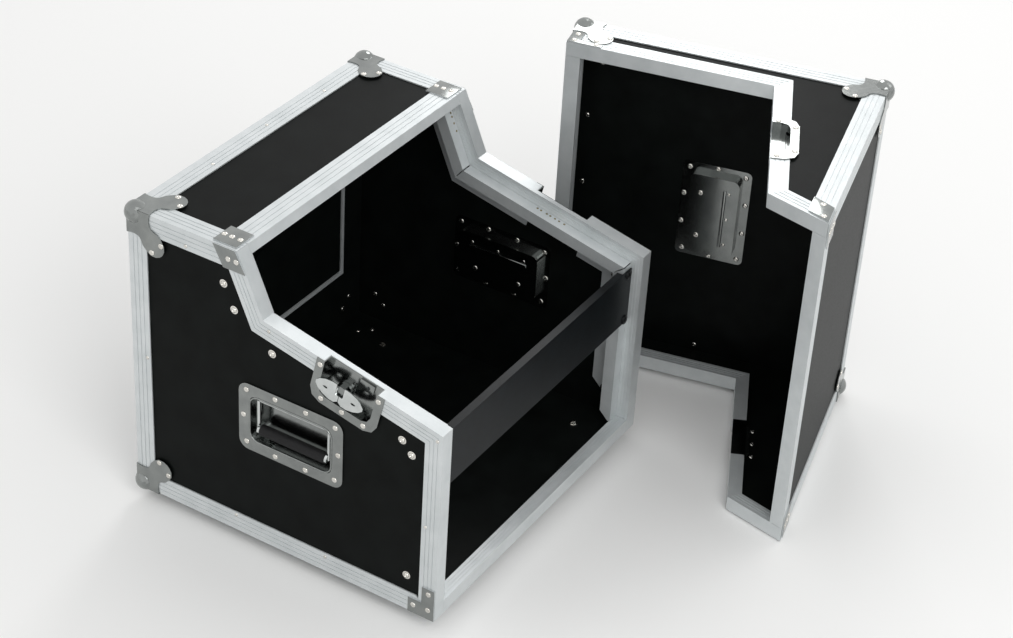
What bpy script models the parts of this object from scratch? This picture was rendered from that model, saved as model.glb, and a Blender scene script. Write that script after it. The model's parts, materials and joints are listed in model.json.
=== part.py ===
"""Slant-top rack case with its lid lifted off and stood on its side.

The base is drawn in its own frame: x across from the left side, y back from the
front opening, z up from the underside of the edge angles. The lid is drawn where
it closes on the base, and one empty stands it beside the base.
"""

import math

import bmesh
import bpy
from mathutils import Matrix, Vector

MM = 0.001

# Envelope over the edge angles, drawn round the rack panel
PANEL_WIDTH = 482.6 * MM
PANEL_ROOM = 23.7 * MM
WIDTH = PANEL_WIDTH + 2 * PANEL_ROOM
DEPTH = 494.4 * MM
HEIGHT = 454.7 * MM
BROW_DROP = 150.7 * MM
FRONT_HEIGHT = HEIGHT - BROW_DROP
KNEE_Y = 277 * MM
KNEE_DROP = 89.7 * MM
KNEE_Z = HEIGHT - KNEE_DROP
CREST_RUN = 40 * MM
CREST_Y = KNEE_Y + CREST_RUN
LID_DEPTH = 72 * MM
SEAM_GAP = 0.6 * MM
FOOT_HEIGHT = 22 * MM

# Boards and clearances
PLY = 9 * MM
PANEL_INSET = 2.1 * MM
GAP = 0.3 * MM
BATTEN_DEPTH = 19.7 * MM
BATTEN_REACH = 19.9 * MM
NOSE_DEPTH = 17.8 * MM
NOSE_REACH = 11 * MM

# Aluminium edging
SHEET = 1.8 * MM
LEG = 30 * MM
FRONT_LEG = 34 * MM
REAR_LEG = 30.5 * MM
REAR_LEG_TOP = 33 * MM
REAR_LEG_UNDER = 32 * MM
CREST_FACE = 14 * MM
RIM_LEG = 26 * MM
RIM_FACE = 22 * MM
RIM_INNER = 20 * MM
GROOVE_WIDTH = 1.2 * MM
GROOVE_DEPTH = 0.6 * MM
MITRE_GAP = 0.2 * MM

# Ball corners
BALL_RADIUS = 16 * MM
BALL_CENTRE = 8 * MM
PLATE = 1.3 * MM
LOBE_END = 78 * MM
LOBE_HALF = 17 * MM
WAIST_HALF = 13 * MM
RIDGE_REACH = 37 * MM

# Rack rails and blank panel
RAIL_DEPTH = 18 * MM
RAIL_OUTER = RIM_FACE + 0.5 * MM
PANEL_LAP = 17.3 * MM
RAIL_INNER = PANEL_ROOM + PANEL_LAP
RAIL_WEB = 18 * MM
RAIL_SHEET = 2 * MM
RAIL_WALL_END = 67 * MM
RAIL_HEAD = 14.7 * MM
RAIL_TOP = HEIGHT - RAIL_HEAD
RAIL_FOOT = RIM_FACE + GAP
PANEL_HEIGHT = 88.1 * MM
PANEL_DROP = 66.4 * MM
PANEL_CENTRE_Z = FRONT_HEIGHT - PANEL_DROP
PANEL_SHEET = 2.4 * MM
PANEL_RETURN = 9 * MM

# Recessed handles, length by height
HANDLE_FLANGE = (167 * MM, 107 * MM)
HANDLE_BACKING = (161 * MM, 104 * MM)
HANDLE_OPENING = (131 * MM, 72 * MM)
HANDLE_RECESS = 20.8 * MM
HANDLE_SHEET = 1.5 * MM
HANDLE_WALL = 1.4 * MM
HANDLE_Y = 234 * MM
HANDLE_DROP = 102.5 * MM
HANDLE_Z = FRONT_HEIGHT - HANDLE_DROP
BAIL_PIVOT_UP = 29.5 * MM
BAIL_PIVOT_IN = 7 * MM
BAIL_ARM_AT = 57 * MM
BAIL_DROP = 49 * MM
WIRE_RADIUS = 3.2 * MM
GRIP_RADIUS = 7 * MM

# Latches, placed along the gentle slope from the knee
LATCH_AT = 141 * MM
LATCH_HALF = 53 * MM
LATCH_DEPTH = 67 * MM
LATCH_RECESS_HALF = 41 * MM
LATCH_RECESS_DEPTH = 54 * MM
LATCH_FLOOR = 13.2 * MM
LATCH_SHEET = 1.2 * MM
KEEPER_DEPTH = 38 * MM
KEEPER_RECESS_DEPTH = 26 * MM
HUB_AT = 132 * MM
HUB_DEPTH = 36 * MM
EAR_REACH = 37 * MM
EAR_HALF = 15 * MM
EAR_SHEET = 1.2 * MM

# Rear hatch
HATCH_SIDE = 63 * MM
HATCH_LEFT = HATCH_SIDE
HATCH_RIGHT = WIDTH - HATCH_SIDE
HATCH_BOTTOM = 112 * MM
HATCH_HEAD = 92.7 * MM
HATCH_TOP = HEIGHT - HATCH_HEAD
HATCH_LINING = 1.8 * MM
HATCH_FLANGE = 12 * MM
DOOR_GAP = 1.5 * MM
HINGE_ASIDE = 4.5 * MM
HINGE_X = HATCH_RIGHT + HINGE_ASIDE
HINGE_OUT = 2.5 * MM
HINGE_RADIUS = 3 * MM
HINGE_HALF = 65 * MM
HINGE_UP = 99.5 * MM
HINGE_Z = HATCH_BOTTOM + HINGE_UP
CUP_RADIUS = 20 * MM

# Rubber feet
FOOT_RADIUS = 19 * MM
FOOT_INSET_X = 63 * MM
FOOT_FRONT_Y = 66 * MM
FOOT_REAR_INSET = 91.4 * MM
FOOT_REAR_Y = DEPTH - FOOT_REAR_INSET

# Where the set stands, and how the lid stands beside the base
SET_CENTRE = (408.68 * MM, 104.98 * MM)
LID_YAW = math.radians(192.71)
LID_ASIDE = 118.8 * MM
LID_FOOT = (WIDTH + LID_ASIDE, 223.3 * MM)

TOE = (0.0, 0.0)
BROW = (0.0, FRONT_HEIGHT)
KNEE = (KNEE_Y, KNEE_Z)
CREST = (CREST_Y, HEIGHT)
BASE = [TOE, BROW, KNEE, CREST, (DEPTH, HEIGHT), (DEPTH, 0.0)]

PARTS = "rack_case"
CUTTERS = "rack_case_cutters"

COLOURS = {
    "black_laminate": ((0.006, 0.007, 0.006), 0.0, 0.45),
    "satin_aluminium": ((0.72, 0.74, 0.75), 1.0, 0.34),
    "plated_steel": ((0.30, 0.28, 0.26), 1.0, 0.30),
    "polished_chrome": ((0.70, 0.72, 0.72), 1.0, 0.12),
    "rail_aluminium": ((0.66, 0.68, 0.69), 1.0, 0.40),
    "foot_rubber": ((0.010, 0.010, 0.010), 0.0, 0.75),
    "blank_panel_paint": ((0.007, 0.008, 0.008), 0.2, 0.40),
}


# ---------------------------------------------------------------- outlines


def unit(start, end):
    """Direction from start to end in the plane of an outline."""
    length = math.hypot(end[0] - start[0], end[1] - start[1])
    return ((end[0] - start[0]) / length, (end[1] - start[1]) / length)


def inward(direction):
    """The right-hand normal, which points into a clockwise outline."""
    return (direction[1], -direction[0])


def meet(corner, before, after, depth_before, depth_after):
    """Where two edges through a corner cross once each has moved inwards."""
    first = inward(before)
    second = inward(after)
    turn = first[0] * second[1] - first[1] * second[0]
    a = (depth_before * second[1] - depth_after * first[1]) / turn
    b = (depth_after * first[0] - depth_before * second[0]) / turn
    return (corner[0] + a, corner[1] + b)


def mitre(outline, index, depth, depth_after=None):
    """The point at this corner of a closed outline, the given depth inside it."""
    corner = outline[index % len(outline)]
    before = unit(outline[(index - 1) % len(outline)], corner)
    after = unit(corner, outline[(index + 1) % len(outline)])
    return meet(corner, before, after, depth, depth if depth_after is None else depth_after)


def inset(outline, depths):
    """A closed outline with each edge moved inwards by its own depth."""
    count = len(outline)
    return [mitre(outline, i, depths[(i - 1) % count], depths[i]) for i in range(count)]


def strip(path, thickness, grooves=()):
    """Outline of sheet bent along a path, its thickness on the right-hand side.

    grooves holds (run, distance along that run) for each shallow groove outside.
    """
    runs = [unit(path[i], path[i + 1]) for i in range(len(path) - 1)]
    outer = []
    for i, point in enumerate(path):
        outer.append(point)
        if i == len(runs):
            break
        for run, along in grooves:
            if run != i:
                continue
            for side, depth in ((-0.5, 0), (-0.5, GROOVE_DEPTH), (0.5, GROOVE_DEPTH), (0.5, 0)):
                reach = along + side * GROOVE_WIDTH
                normal = inward(runs[i])
                outer.append(
                    (
                        point[0] + runs[i][0] * reach + normal[0] * depth,
                        point[1] + runs[i][1] * reach + normal[1] * depth,
                    )
                )
    inner = []
    for i, point in enumerate(path):
        before = runs[max(i - 1, 0)]
        after = runs[min(i, len(runs) - 1)]
        if before == after:
            normal = inward(after)
            inner.append((point[0] + normal[0] * thickness, point[1] + normal[1] * thickness))
        else:
            inner.append(meet(point, before, after, thickness, thickness))
    return outer + inner[::-1]


def rounded(width, height, radius, steps=5):
    """Rectangle about the origin with rounded corners."""
    points = []
    for i, (sx, sy) in enumerate(((1, 1), (-1, 1), (-1, -1), (1, -1))):
        for k in range(steps + 1):
            angle = math.radians(90 * (i + k / steps))
            points.append(
                (
                    sx * (width / 2 - radius) + radius * math.cos(angle),
                    sy * (height / 2 - radius) + radius * math.sin(angle),
                )
            )
    return points


def slope(along, depth):
    """A point on the gentle slope, as (y, z), from the knee down towards the brow."""
    run = unit(KNEE, BROW)
    normal = inward(unit(BROW, KNEE))
    return (
        KNEE[0] + run[0] * along + normal[0] * depth,
        KNEE[1] + run[1] * along + normal[1] * depth,
    )


# ---------------------------------------------------------------- solids


def collection(name, hidden=False):
    """The collection of this name, made on first use."""
    found = bpy.data.collections.get(name)
    if found is None:
        found = bpy.data.collections.new(name)
        bpy.context.scene.collection.children.link(found)
        found.hide_render = hidden
    return found


def made(name, mesh):
    """An object for a mesh, in the collection of cutters until it is a part."""
    obj = bpy.data.objects.new(name, mesh)
    collection(CUTTERS, True).objects.link(obj)
    obj.hide_render = True
    obj.display_type = "WIRE"
    return obj


def settled(obj):
    """The object with its outline, curve or modifiers turned into one clean mesh."""
    bpy.context.view_layer.update()
    graph = bpy.context.evaluated_depsgraph_get()
    mesh = bpy.data.meshes.new_from_object(obj.evaluated_get(graph))
    mesh.transform(obj.matrix_world)
    bm = bmesh.new()
    bm.from_mesh(mesh)
    bmesh.ops.remove_doubles(bm, verts=bm.verts, dist=0.002 * MM)
    bmesh.ops.recalc_face_normals(bm, faces=bm.faces)
    bm.to_mesh(mesh)
    bm.free()
    name = obj.name
    bpy.data.objects.remove(obj)
    return made(name, mesh)


PLANES = {
    "x": Matrix(((0, 0, 1, 0), (1, 0, 0, 0), (0, 1, 0, 0), (0, 0, 0, 1))),
    "y": Matrix(((1, 0, 0, 0), (0, 0, -1, 0), (0, 1, 0, 0), (0, 0, 0, 1))),
    "z": Matrix.Identity(4),
}


def slab(name, outlines, plane, low, high):
    """Outlines filled and given thickness, lying across one axis.

    plane is "x" for outlines in (y, z), "y" for (x, z) and "z" for (x, y).
    """
    curve = bpy.data.curves.new(name, "CURVE")
    curve.dimensions = "2D"
    curve.fill_mode = "BOTH"
    curve.extrude = (high - low) / 2
    for outline in outlines:
        spline = curve.splines.new("POLY")
        spline.points.add(len(outline) - 1)
        for point, (a, b) in zip(spline.points, outline):
            point.co = (a, b, 0, 1)
        spline.use_cyclic_u = True
    obj = made(name, curve)
    middle = (low + high) / 2
    shift = {"x": (middle, 0, 0), "y": (0, middle, 0), "z": (0, 0, middle)}[plane]
    obj.matrix_world = Matrix.Translation(shift) @ PLANES[plane]
    return settled(obj)


def box(name, low, high):
    """A rectangular block between two corners."""
    bm = bmesh.new()
    bmesh.ops.create_cube(bm, size=1)
    for vert in bm.verts:
        vert.co = [low[i] + (vert.co[i] + 0.5) * (high[i] - low[i]) for i in range(3)]
    mesh = bpy.data.meshes.new(name)
    bm.to_mesh(mesh)
    bm.free()
    return made(name, mesh)


def rod(name, start, end, radius, segments=12, end_radius=None):
    """A round bar between two points, or a tapered one."""
    start = Vector(start)
    end = Vector(end)
    bm = bmesh.new()
    bmesh.ops.create_cone(
        bm,
        cap_ends=True,
        segments=segments,
        radius1=radius,
        radius2=radius if end_radius is None else end_radius,
        depth=(end - start).length,
    )
    turn = Vector((0, 0, 1)).rotation_difference(end - start).to_matrix().to_4x4()
    bm.transform(Matrix.Translation((start + end) / 2) @ turn)
    mesh = bpy.data.meshes.new(name)
    bm.to_mesh(mesh)
    bm.free()
    return made(name, mesh)


def mitred(name, outline, first, last, section):
    """A section swept round the corners of an outline with mitred joints.

    section holds (x, depth) points; the sweep runs from corner first to corner
    last of the outline, which lies in (y, z).
    """
    count = len(outline)
    rings = []
    for index in range(first, last + 1):
        ring = []
        for x, depth in section:
            y, z = mitre(outline, index, depth)
            if index in (first, last):
                near = index if index == first else index - 1
                run = unit(outline[near % count], outline[(near + 1) % count])
                shift = MITRE_GAP if index == first else -MITRE_GAP
                y += run[0] * shift
                z += run[1] * shift
            ring.append(Vector((x, y, z)))
        rings.append(ring)
    bm = bmesh.new()
    face = bm.faces.new([bm.verts.new(point) for point in rings[0]])
    for before, after in zip(rings, rings[1:]):
        grown = bmesh.ops.extrude_face_region(bm, geom=[face])["geom"]
        if before is not rings[0]:
            bmesh.ops.delete(bm, geom=[face], context="FACES_ONLY")
        face = [item for item in grown if isinstance(item, bmesh.types.BMFace)][0]
        for vert in face.verts:
            nearest = min(range(len(before)), key=lambda i: (before[i] - vert.co).length)
            vert.co = after[nearest]
    bmesh.ops.recalc_face_normals(bm, faces=bm.faces)
    mesh = bpy.data.meshes.new(name)
    bm.to_mesh(mesh)
    bm.free()
    return made(name, mesh)


def combine(target, tools, operation):
    """Join tools to the target, or cut them from it."""
    for tool in tools:
        modifier = target.modifiers.new(operation.lower(), "BOOLEAN")
        modifier.operation = operation
        modifier.solver = "EXACT"
        modifier.object = tool
        target = settled(target)
    return target


def join(target, *tools):
    """The target with the tools fused to it."""
    return combine(target, tools, "UNION")


def cut(target, *tools):
    """The target with the tools cut away."""
    return combine(target, tools, "DIFFERENCE")


def mirrored(obj, name):
    """A copy for the right-hand side, mirrored across the middle of the width."""
    mesh = obj.data.copy()
    mesh.transform(Matrix.Translation((WIDTH, 0, 0)) @ Matrix.Diagonal((-1, 1, 1, 1)))
    mesh.flip_normals()
    return made(name, mesh)


def material(slot):
    """The Principled material of a slot."""
    found = bpy.data.materials.get(slot)
    if found is None:
        colour, metallic, roughness = COLOURS[slot]
        found = bpy.data.materials.new(slot)
        found.use_nodes = True
        shader = found.node_tree.nodes["Principled BSDF"]
        shader.inputs["Base Color"].default_value = (*colour, 1)
        shader.inputs["Metallic"].default_value = metallic
        shader.inputs["Roughness"].default_value = roughness
        found.diffuse_color = (*colour, 1)
    return found


def part(obj, name, slot, frame, origin=(0, 0, 0), matrix=None):
    """Turn a solid into a named piece with its origin on its own axis.

    With a matrix the solid is drawn in its own frame and the matrix places it.
    """
    place = Matrix.Translation(origin) if matrix is None else matrix
    if matrix is None:
        obj.data.transform(place.inverted())
    obj.name = name
    obj.data.name = name
    obj.data.materials.clear()
    obj.data.materials.append(material(slot))
    own = bpy.data.materials[slot].copy()
    own.name = f"{name}_{slot}"
    obj.data.materials[0] = own
    for holder in list(obj.users_collection):
        holder.objects.unlink(obj)
    collection(PARTS).objects.link(obj)
    obj.hide_render = False
    obj.display_type = "TEXTURED"
    obj.parent = frame
    obj.matrix_parent_inverse = Matrix.Identity(4)
    obj.matrix_basis = place
    return obj


def soften(obj, degrees=40):
    """Smooth shading on round faces, with their edges kept sharp."""
    for polygon in obj.data.polygons:
        polygon.use_smooth = True
    obj.data.set_sharp_from_angle(angle=math.radians(degrees))
    return obj


# ---------------------------------------------------------------- edging


def leg_grooves(run, length):
    """Three grooves spread over one leg of an angle."""
    return [(run, length * share) for share in (0.27, 0.5, 0.73)]


def angle_section():
    """L section of the edge angles, as (x, depth)."""
    grooves = leg_grooves(0, LEG) + leg_grooves(1, LEG)
    return strip([(LEG, 0), (0, 0), (0, LEG)], SHEET, grooves)


def rim_section():
    """U section of the opening rims, as (x, depth), open towards the boards."""
    grooves = leg_grooves(0, RIM_INNER) + leg_grooves(2, RIM_LEG)
    path = [(RIM_FACE, RIM_INNER), (RIM_FACE, 0), (0, 0), (0, RIM_LEG)]
    return strip(path, SHEET, grooves)


def board_notches(name, outline, side):
    """Cutters that end a rim's inner leg at the top board and the bottom board."""
    left, right = PANEL_INSET + PLY, RIM_FACE + MM
    toe = side * (SHEET + 0.7 * GAP) - (0 if side > 0 else SEAM_GAP)
    span = sorted((toe, side * LEG))
    top = PANEL_INSET + PLY + GAP
    return (
        slab(name + "_top_notch", [outline], "x", left, right),
        box(name + "_toe_notch", (left, span[0], -MM), (right, span[1], top)),
    )


def cross_member(name, path, start, grooves=()):
    """A bent strip across the width, its ends clear of both side trims."""
    return slab(name, [strip(path, SHEET, grooves)], "x", start, WIDTH - start)


def side_bracket(name, outline, pad):
    """A flat plate on the left face, with the rivet that holds it to the angle."""
    plate = slab(name, [outline], "x", -GAP - PLATE, -GAP)
    stud = rod(name + "_stud", (-GAP - PLATE / 2, *pad), (SHEET / 2, *pad), 3 * MM, 8)
    return join(plate, stud)


def top_bracket(name, low, high, pad):
    """A flat plate on the top face, with the rivet that holds it to the angle."""
    plate = box(name, (*low, HEIGHT + GAP), (*high, HEIGHT + GAP + PLATE))
    stud = rod(
        name + "_stud",
        (*pad, HEIGHT + GAP + PLATE / 2),
        (*pad, HEIGHT - SHEET / 2),
        3 * MM,
        8,
    )
    return join(plate, stud)


def toe_plate(name, side):
    """The L plate over the bottom front corner; side is 1 on the base, -1 on the lid."""
    long, tall, arm = (41, 24, 20) if side > 0 else (33, 18, 10.5)
    edge = 0.5 if side > 0 else 1.2
    points = [(edge, 0.5), (long, 0.5), (long, tall), (arm, tall), (arm, 51), (edge, 51)]
    outline = [(side * y * MM, z * MM) for y, z in points]
    return side_bracket(name, outline, (side * (long - 6) * MM, 12 * MM))


def shell_trim(name, outline, first, last, crest_side):
    """The long angle chain of a left side with its bracket and toe plate."""
    trim = mitred(name, outline, first, last, angle_section())
    crest = outline[3] if crest_side > 0 else outline[2]
    toe = outline[0] if crest_side > 0 else outline[5]
    deep = (FRONT_LEG if crest_side > 0 else LEG) + GAP
    span = sorted((crest[0] - crest_side * MM, crest[0] + crest_side * deep))
    notch = box(
        name + "_notch",
        (RIM_FACE, span[0], HEIGHT - SHEET - MM),
        (LEG + MM, span[1], HEIGHT + MM),
    )
    span = sorted((toe[0] - crest_side * MM, toe[0] + crest_side * (LEG + GAP)))
    heel = box(name + "_heel", (RIM_FACE, span[0], -MM), (LEG + MM, span[1], SHEET + MM))
    trim = cut(trim, notch, heel)
    lean = 16.5 * MM
    y = crest[0]
    outline_plate = [
        (y + crest_side * 3 * MM, HEIGHT - 0.5 * MM),
        (y + crest_side * 38 * MM, HEIGHT - 0.5 * MM),
        (y + crest_side * 38 * MM - lean, HEIGHT - 31 * MM),
        (y + crest_side * 3 * MM - lean, HEIGHT - 31 * MM),
    ]
    plate = side_bracket(
        name + "_bracket", outline_plate, (y + crest_side * 28 * MM, HEIGHT - 10 * MM)
    )
    ends = sorted((y + crest_side * 4.5 * MM, y + crest_side * 41 * MM))
    cap = top_bracket(
        name + "_cap",
        (4 * MM, ends[0]),
        (41 * MM, ends[1]),
        (13 * MM, y + crest_side * 26 * MM),
    )
    return join(trim, plate, cap, toe_plate(name + "_toe", crest_side))


# ---------------------------------------------------------------- ball corner


def lobe_outline():
    """One scalloped plate of a ball corner, drawn from the corner of the box."""
    spine = [
        (26.2, 26.2),
        (29.5, 21.0),
        (33.5, 16.8),
        (38.0, 13.8),
        (42.0, WAIST_HALF / MM),
        (47.0, 14.6),
        (52.5, LOBE_HALF / MM),
        (63.0, LOBE_HALF / MM),
        (70.0, 15.0),
        (75.5, 9.5),
        (LOBE_END / MM, 3.0),
    ]
    root = math.sqrt(0.5)
    upper = [((s - h) * root * MM, (s + h) * root * MM) for s, h in spine]
    lower = [(b, a) for a, b in reversed(upper)]
    edge = -GAP - 0.65 * PLATE
    return [(edge, edge), (edge, RIDGE_REACH)] + upper + lower + [(RIDGE_REACH, edge)]


def ball_corner(name, corner, signs):
    """A pressed corner: three scalloped plates and a dome, hugging the box corner."""
    lobe = [lobe_outline()]
    plates = [slab(name + plane, lobe, plane, -GAP - PLATE, -GAP) for plane in "xz"]
    # the y plate lies in (x, z), which its own plane keeps in order
    plates.append(slab(name + "y", lobe, "y", -GAP - PLATE, -GAP))
    bm = bmesh.new()
    bmesh.ops.create_uvsphere(bm, u_segments=20, v_segments=12, radius=BALL_RADIUS)
    turn = Vector((0, 0, 1)).rotation_difference(Vector((-1, -1, -1))).to_matrix().to_4x4()
    bm.transform(Matrix.Translation((BALL_CENTRE,) * 3) @ turn)
    mesh = bpy.data.meshes.new(name + "_dome")
    bm.to_mesh(mesh)
    bm.free()
    dome = made(name + "_dome", mesh)
    hollow = box(name + "_hollow", (-1.5 * GAP,) * 3, (0.2,) * 3)
    ball = join(cut(dome, hollow), *plates)
    ball.data.transform(Matrix.Translation(corner) @ Matrix.Diagonal((*signs, 1)))
    if signs[0] * signs[1] * signs[2] < 0:
        ball.data.flip_normals()
    return soften(ball)


# ---------------------------------------------------------------- handles


def handle_dish(name):
    """Pressed dish, its flange and the ring behind the board, drawn flat.

    The frame is x along the handle, y up and z outwards from the flange's seat.
    """
    opening = rounded(*HANDLE_OPENING, 9 * MM)
    walls = rounded(
        HANDLE_OPENING[0] + 2 * HANDLE_WALL, HANDLE_OPENING[1] + 2 * HANDLE_WALL, 10 * MM
    )
    floor = -HANDLE_RECESS - HANDLE_WALL
    flange = slab(name, [rounded(*HANDLE_FLANGE, 15 * MM)], "z", 0, HANDLE_SHEET)
    tub = slab(name + "_tub", [walls], "z", floor, HANDLE_SHEET / 2)
    behind = -GAP - PLY - GAP
    ring = slab(
        name + "_ring", [rounded(*HANDLE_BACKING, 8 * MM)], "z", behind - HANDLE_SHEET, behind
    )
    recess = slab(name + "_recess", [opening], "z", -HANDLE_RECESS, 2 * HANDLE_SHEET)
    dish = join(flange, tub, ring)
    return cut(dish, recess)


def handle_hole(name, frame_matrix):
    """Cutter for the board behind a handle, in the frame of the case."""
    clear = 2 * (HANDLE_WALL + GAP)
    outline = rounded(HANDLE_OPENING[0] + clear, HANDLE_OPENING[1] + clear, 10.3 * MM)
    hole = slab(name, [outline], "z", -0.03, 0.01)
    hole.data.transform(frame_matrix)
    return hole


def bail(name):
    """Wire bail with its grip, drawn hanging from its pivot rod along x."""
    reach = HANDLE_OPENING[0] / 2 - 2.7 * MM
    pivot = rod(name, (-reach, 0, 0), (reach, 0, 0), WIRE_RADIUS + 0.3 * MM, 12)
    arms = [
        rod(
            name + "_arm",
            (side * BAIL_ARM_AT, 0.5 * MM, 0),
            (side * BAIL_ARM_AT, -BAIL_DROP, 0),
            WIRE_RADIUS,
            12,
        )
        for side in (-1, 1)
    ]
    half = BAIL_ARM_AT - 1 * MM
    grip = rod(name + "_grip", (-half, -BAIL_DROP, 0), (half, -BAIL_DROP, 0), GRIP_RADIUS, 18)
    return soften(join(pivot, *arms, grip))


def facing(outward, centre):
    """Placement of a flat-drawn piece: z outwards, y up, x along."""
    z = Vector(outward)
    y = Vector((0, 0, 1))
    x = y.cross(z)
    turn = Matrix((x, y, z)).transposed().to_4x4()
    return Matrix.Translation(centre) @ turn


def handle_places():
    """Where each handle sits: name, which frame it belongs to, placement."""
    seat = PANEL_INSET - GAP
    return [
        ("base_handle_left", "base", facing((-1, 0, 0), (seat, HANDLE_Y, HANDLE_Z))),
        ("base_handle_right", "base", facing((1, 0, 0), (WIDTH - seat, HANDLE_Y, HANDLE_Z))),
        (
            "lid_handle",
            "lid",
            facing((0, -1, 0), (WIDTH / 2, -LID_DEPTH + seat, HEIGHT / 2)),
        ),
    ]


def add_handles(frames):
    """All three recessed handles."""
    for name, owner, place in handle_places():
        part(handle_dish(name), name + "_dish", "plated_steel", frames[owner], matrix=place)
        pivot = place @ Matrix.Translation((0, BAIL_PIVOT_UP, -BAIL_PIVOT_IN))
        part(bail(name + "_b"), name + "_bail", "polished_chrome", frames[owner], matrix=pivot)


# ---------------------------------------------------------------- latches


def half_dish(half, depth, corner, sign, past):
    """Outline of half a latch dish hung on the seam; sign is 1 on the base."""
    near = sign * past
    points = [
        (LATCH_AT - half, near),
        (LATCH_AT - half, sign * (depth - corner)),
        (LATCH_AT - half + 0.3 * corner, sign * (depth - 0.3 * corner)),
        (LATCH_AT - half + corner, sign * depth),
        (LATCH_AT + half - corner, sign * depth),
        (LATCH_AT + half - 0.3 * corner, sign * (depth - 0.3 * corner)),
        (LATCH_AT + half, sign * (depth - corner)),
        (LATCH_AT + half, near),
    ]
    return [slope(*point) for point in points]


def tray(name, flange_depth, recess_depth, sign):
    """Half dish of a latch: flange on the rim, recess down through the board."""
    lip = GAP if sign > 0 else GAP + SEAM_GAP
    wall = LATCH_SHEET
    flange = slab(
        name,
        [half_dish(LATCH_HALF, flange_depth, 18 * MM, sign, lip)],
        "x",
        -GAP - LATCH_SHEET,
        -GAP,
    )
    tub = slab(
        name + "_tub",
        [half_dish(LATCH_RECESS_HALF + wall, recess_depth + wall, 13 * MM, sign, lip + GAP)],
        "x",
        -GAP - LATCH_SHEET / 2,
        LATCH_FLOOR + wall,
    )
    hollow = slab(
        name + "_hollow",
        [half_dish(LATCH_RECESS_HALF, recess_depth, 12.5 * MM, sign, -5 * MM)],
        "x",
        -5 * MM,
        LATCH_FLOOR,
    )
    return cut(join(flange, tub), hollow)


def tray_hole(name, recess_depth, sign):
    """Cutter that lets a half dish into the rim, the side board and its batten."""
    clear = LATCH_SHEET + GAP
    outline = half_dish(LATCH_RECESS_HALF + clear, recess_depth + clear, 13 * MM, sign, -5 * MM)
    return slab(name, [outline], "x", -5 * MM, LATCH_FLOOR + LATCH_SHEET + GAP)


def latch_hub(name):
    """Turning hub: a disc on the dish floor with the post the ears hang on."""
    y, z = slope(HUB_AT, HUB_DEPTH)
    disc = rod(name, (LATCH_FLOOR - GAP, y, z), (9 * MM, y, z), 12 * MM, 20)
    post = slab(
        name + "_post",
        [
            [
                slope(HUB_AT - 4.1 * MM, HUB_DEPTH - 11 * MM),
                slope(HUB_AT + 4.1 * MM, HUB_DEPTH - 11 * MM),
                slope(HUB_AT + 4.1 * MM, HUB_DEPTH + 1.6 * MM),
                slope(HUB_AT - 4.1 * MM, HUB_DEPTH + 1.6 * MM),
            ]
        ],
        "x",
        0.6 * MM,
        10 * MM,
    )
    return join(disc, post)


def latch_ear(name, side):
    """One folding ear with its slot and the lug it pivots on; side is along the slope."""
    tip = EAR_REACH
    half = EAR_HALF
    shape = [
        (0.4, 2.0),
        (0.4, 0.72 * half / MM),
        (6.0, half / MM),
        (14.0, half / MM),
        (24.0, 0.80 * half / MM),
        (32.0, 0.50 * half / MM),
        (tip / MM, 0.12 * half / MM),
        (tip / MM, -0.18 * half / MM),
        (32.0, -0.55 * half / MM),
        (24.0, -0.84 * half / MM),
        (14.0, -half / MM),
        (6.0, -half / MM),
        (6.0, 2.0),
    ]
    slot = [
        (18.0, 0.0),
        (19.5, 1.3),
        (22.0, 1.8),
        (24.5, 1.3),
        (26.0, 0.0),
        (24.5, -1.3),
        (22.0, -1.8),
        (19.5, -1.3),
    ]
    low = -GAP - LATCH_SHEET - GAP - EAR_SHEET
    outlines = [
        [slope(HUB_AT + side * a * MM, HUB_DEPTH + b * MM) for a, b in points]
        for points in (shape, slot)
    ]
    leaf = slab(name, outlines, "x", low, low + EAR_SHEET)
    lug_low = slope(HUB_AT + side * 6.4 * MM, HUB_DEPTH - 9 * MM)
    lug_high = slope(HUB_AT + side * 6.4 * MM, HUB_DEPTH + 7 * MM)
    level = low + EAR_SHEET + 1.6 * MM
    lug = rod(name + "_lug", (level, *lug_low), (level, *lug_high), 2 * MM, 10)
    return join(leaf, lug)


def latch_hook(name):
    """Square hook plate that slides out across the seam, pierced once."""
    plate = [
        slope(LATCH_AT + a * MM, b * MM)
        for a, b in ((8, 3), (30, 3), (30, 17), (16, 17), (16, 21), (8, 21))
    ]
    hole = [
        slope(LATCH_AT + (22 + 2.4 * math.cos(k * math.pi / 4)) * MM, (9.5 + 2.4 * math.sin(k * math.pi / 4)) * MM)
        for k in range(8)
    ]
    return slab(name, [plate, hole], "x", LATCH_FLOOR - GAP - 2 * MM, LATCH_FLOOR - GAP)


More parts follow.
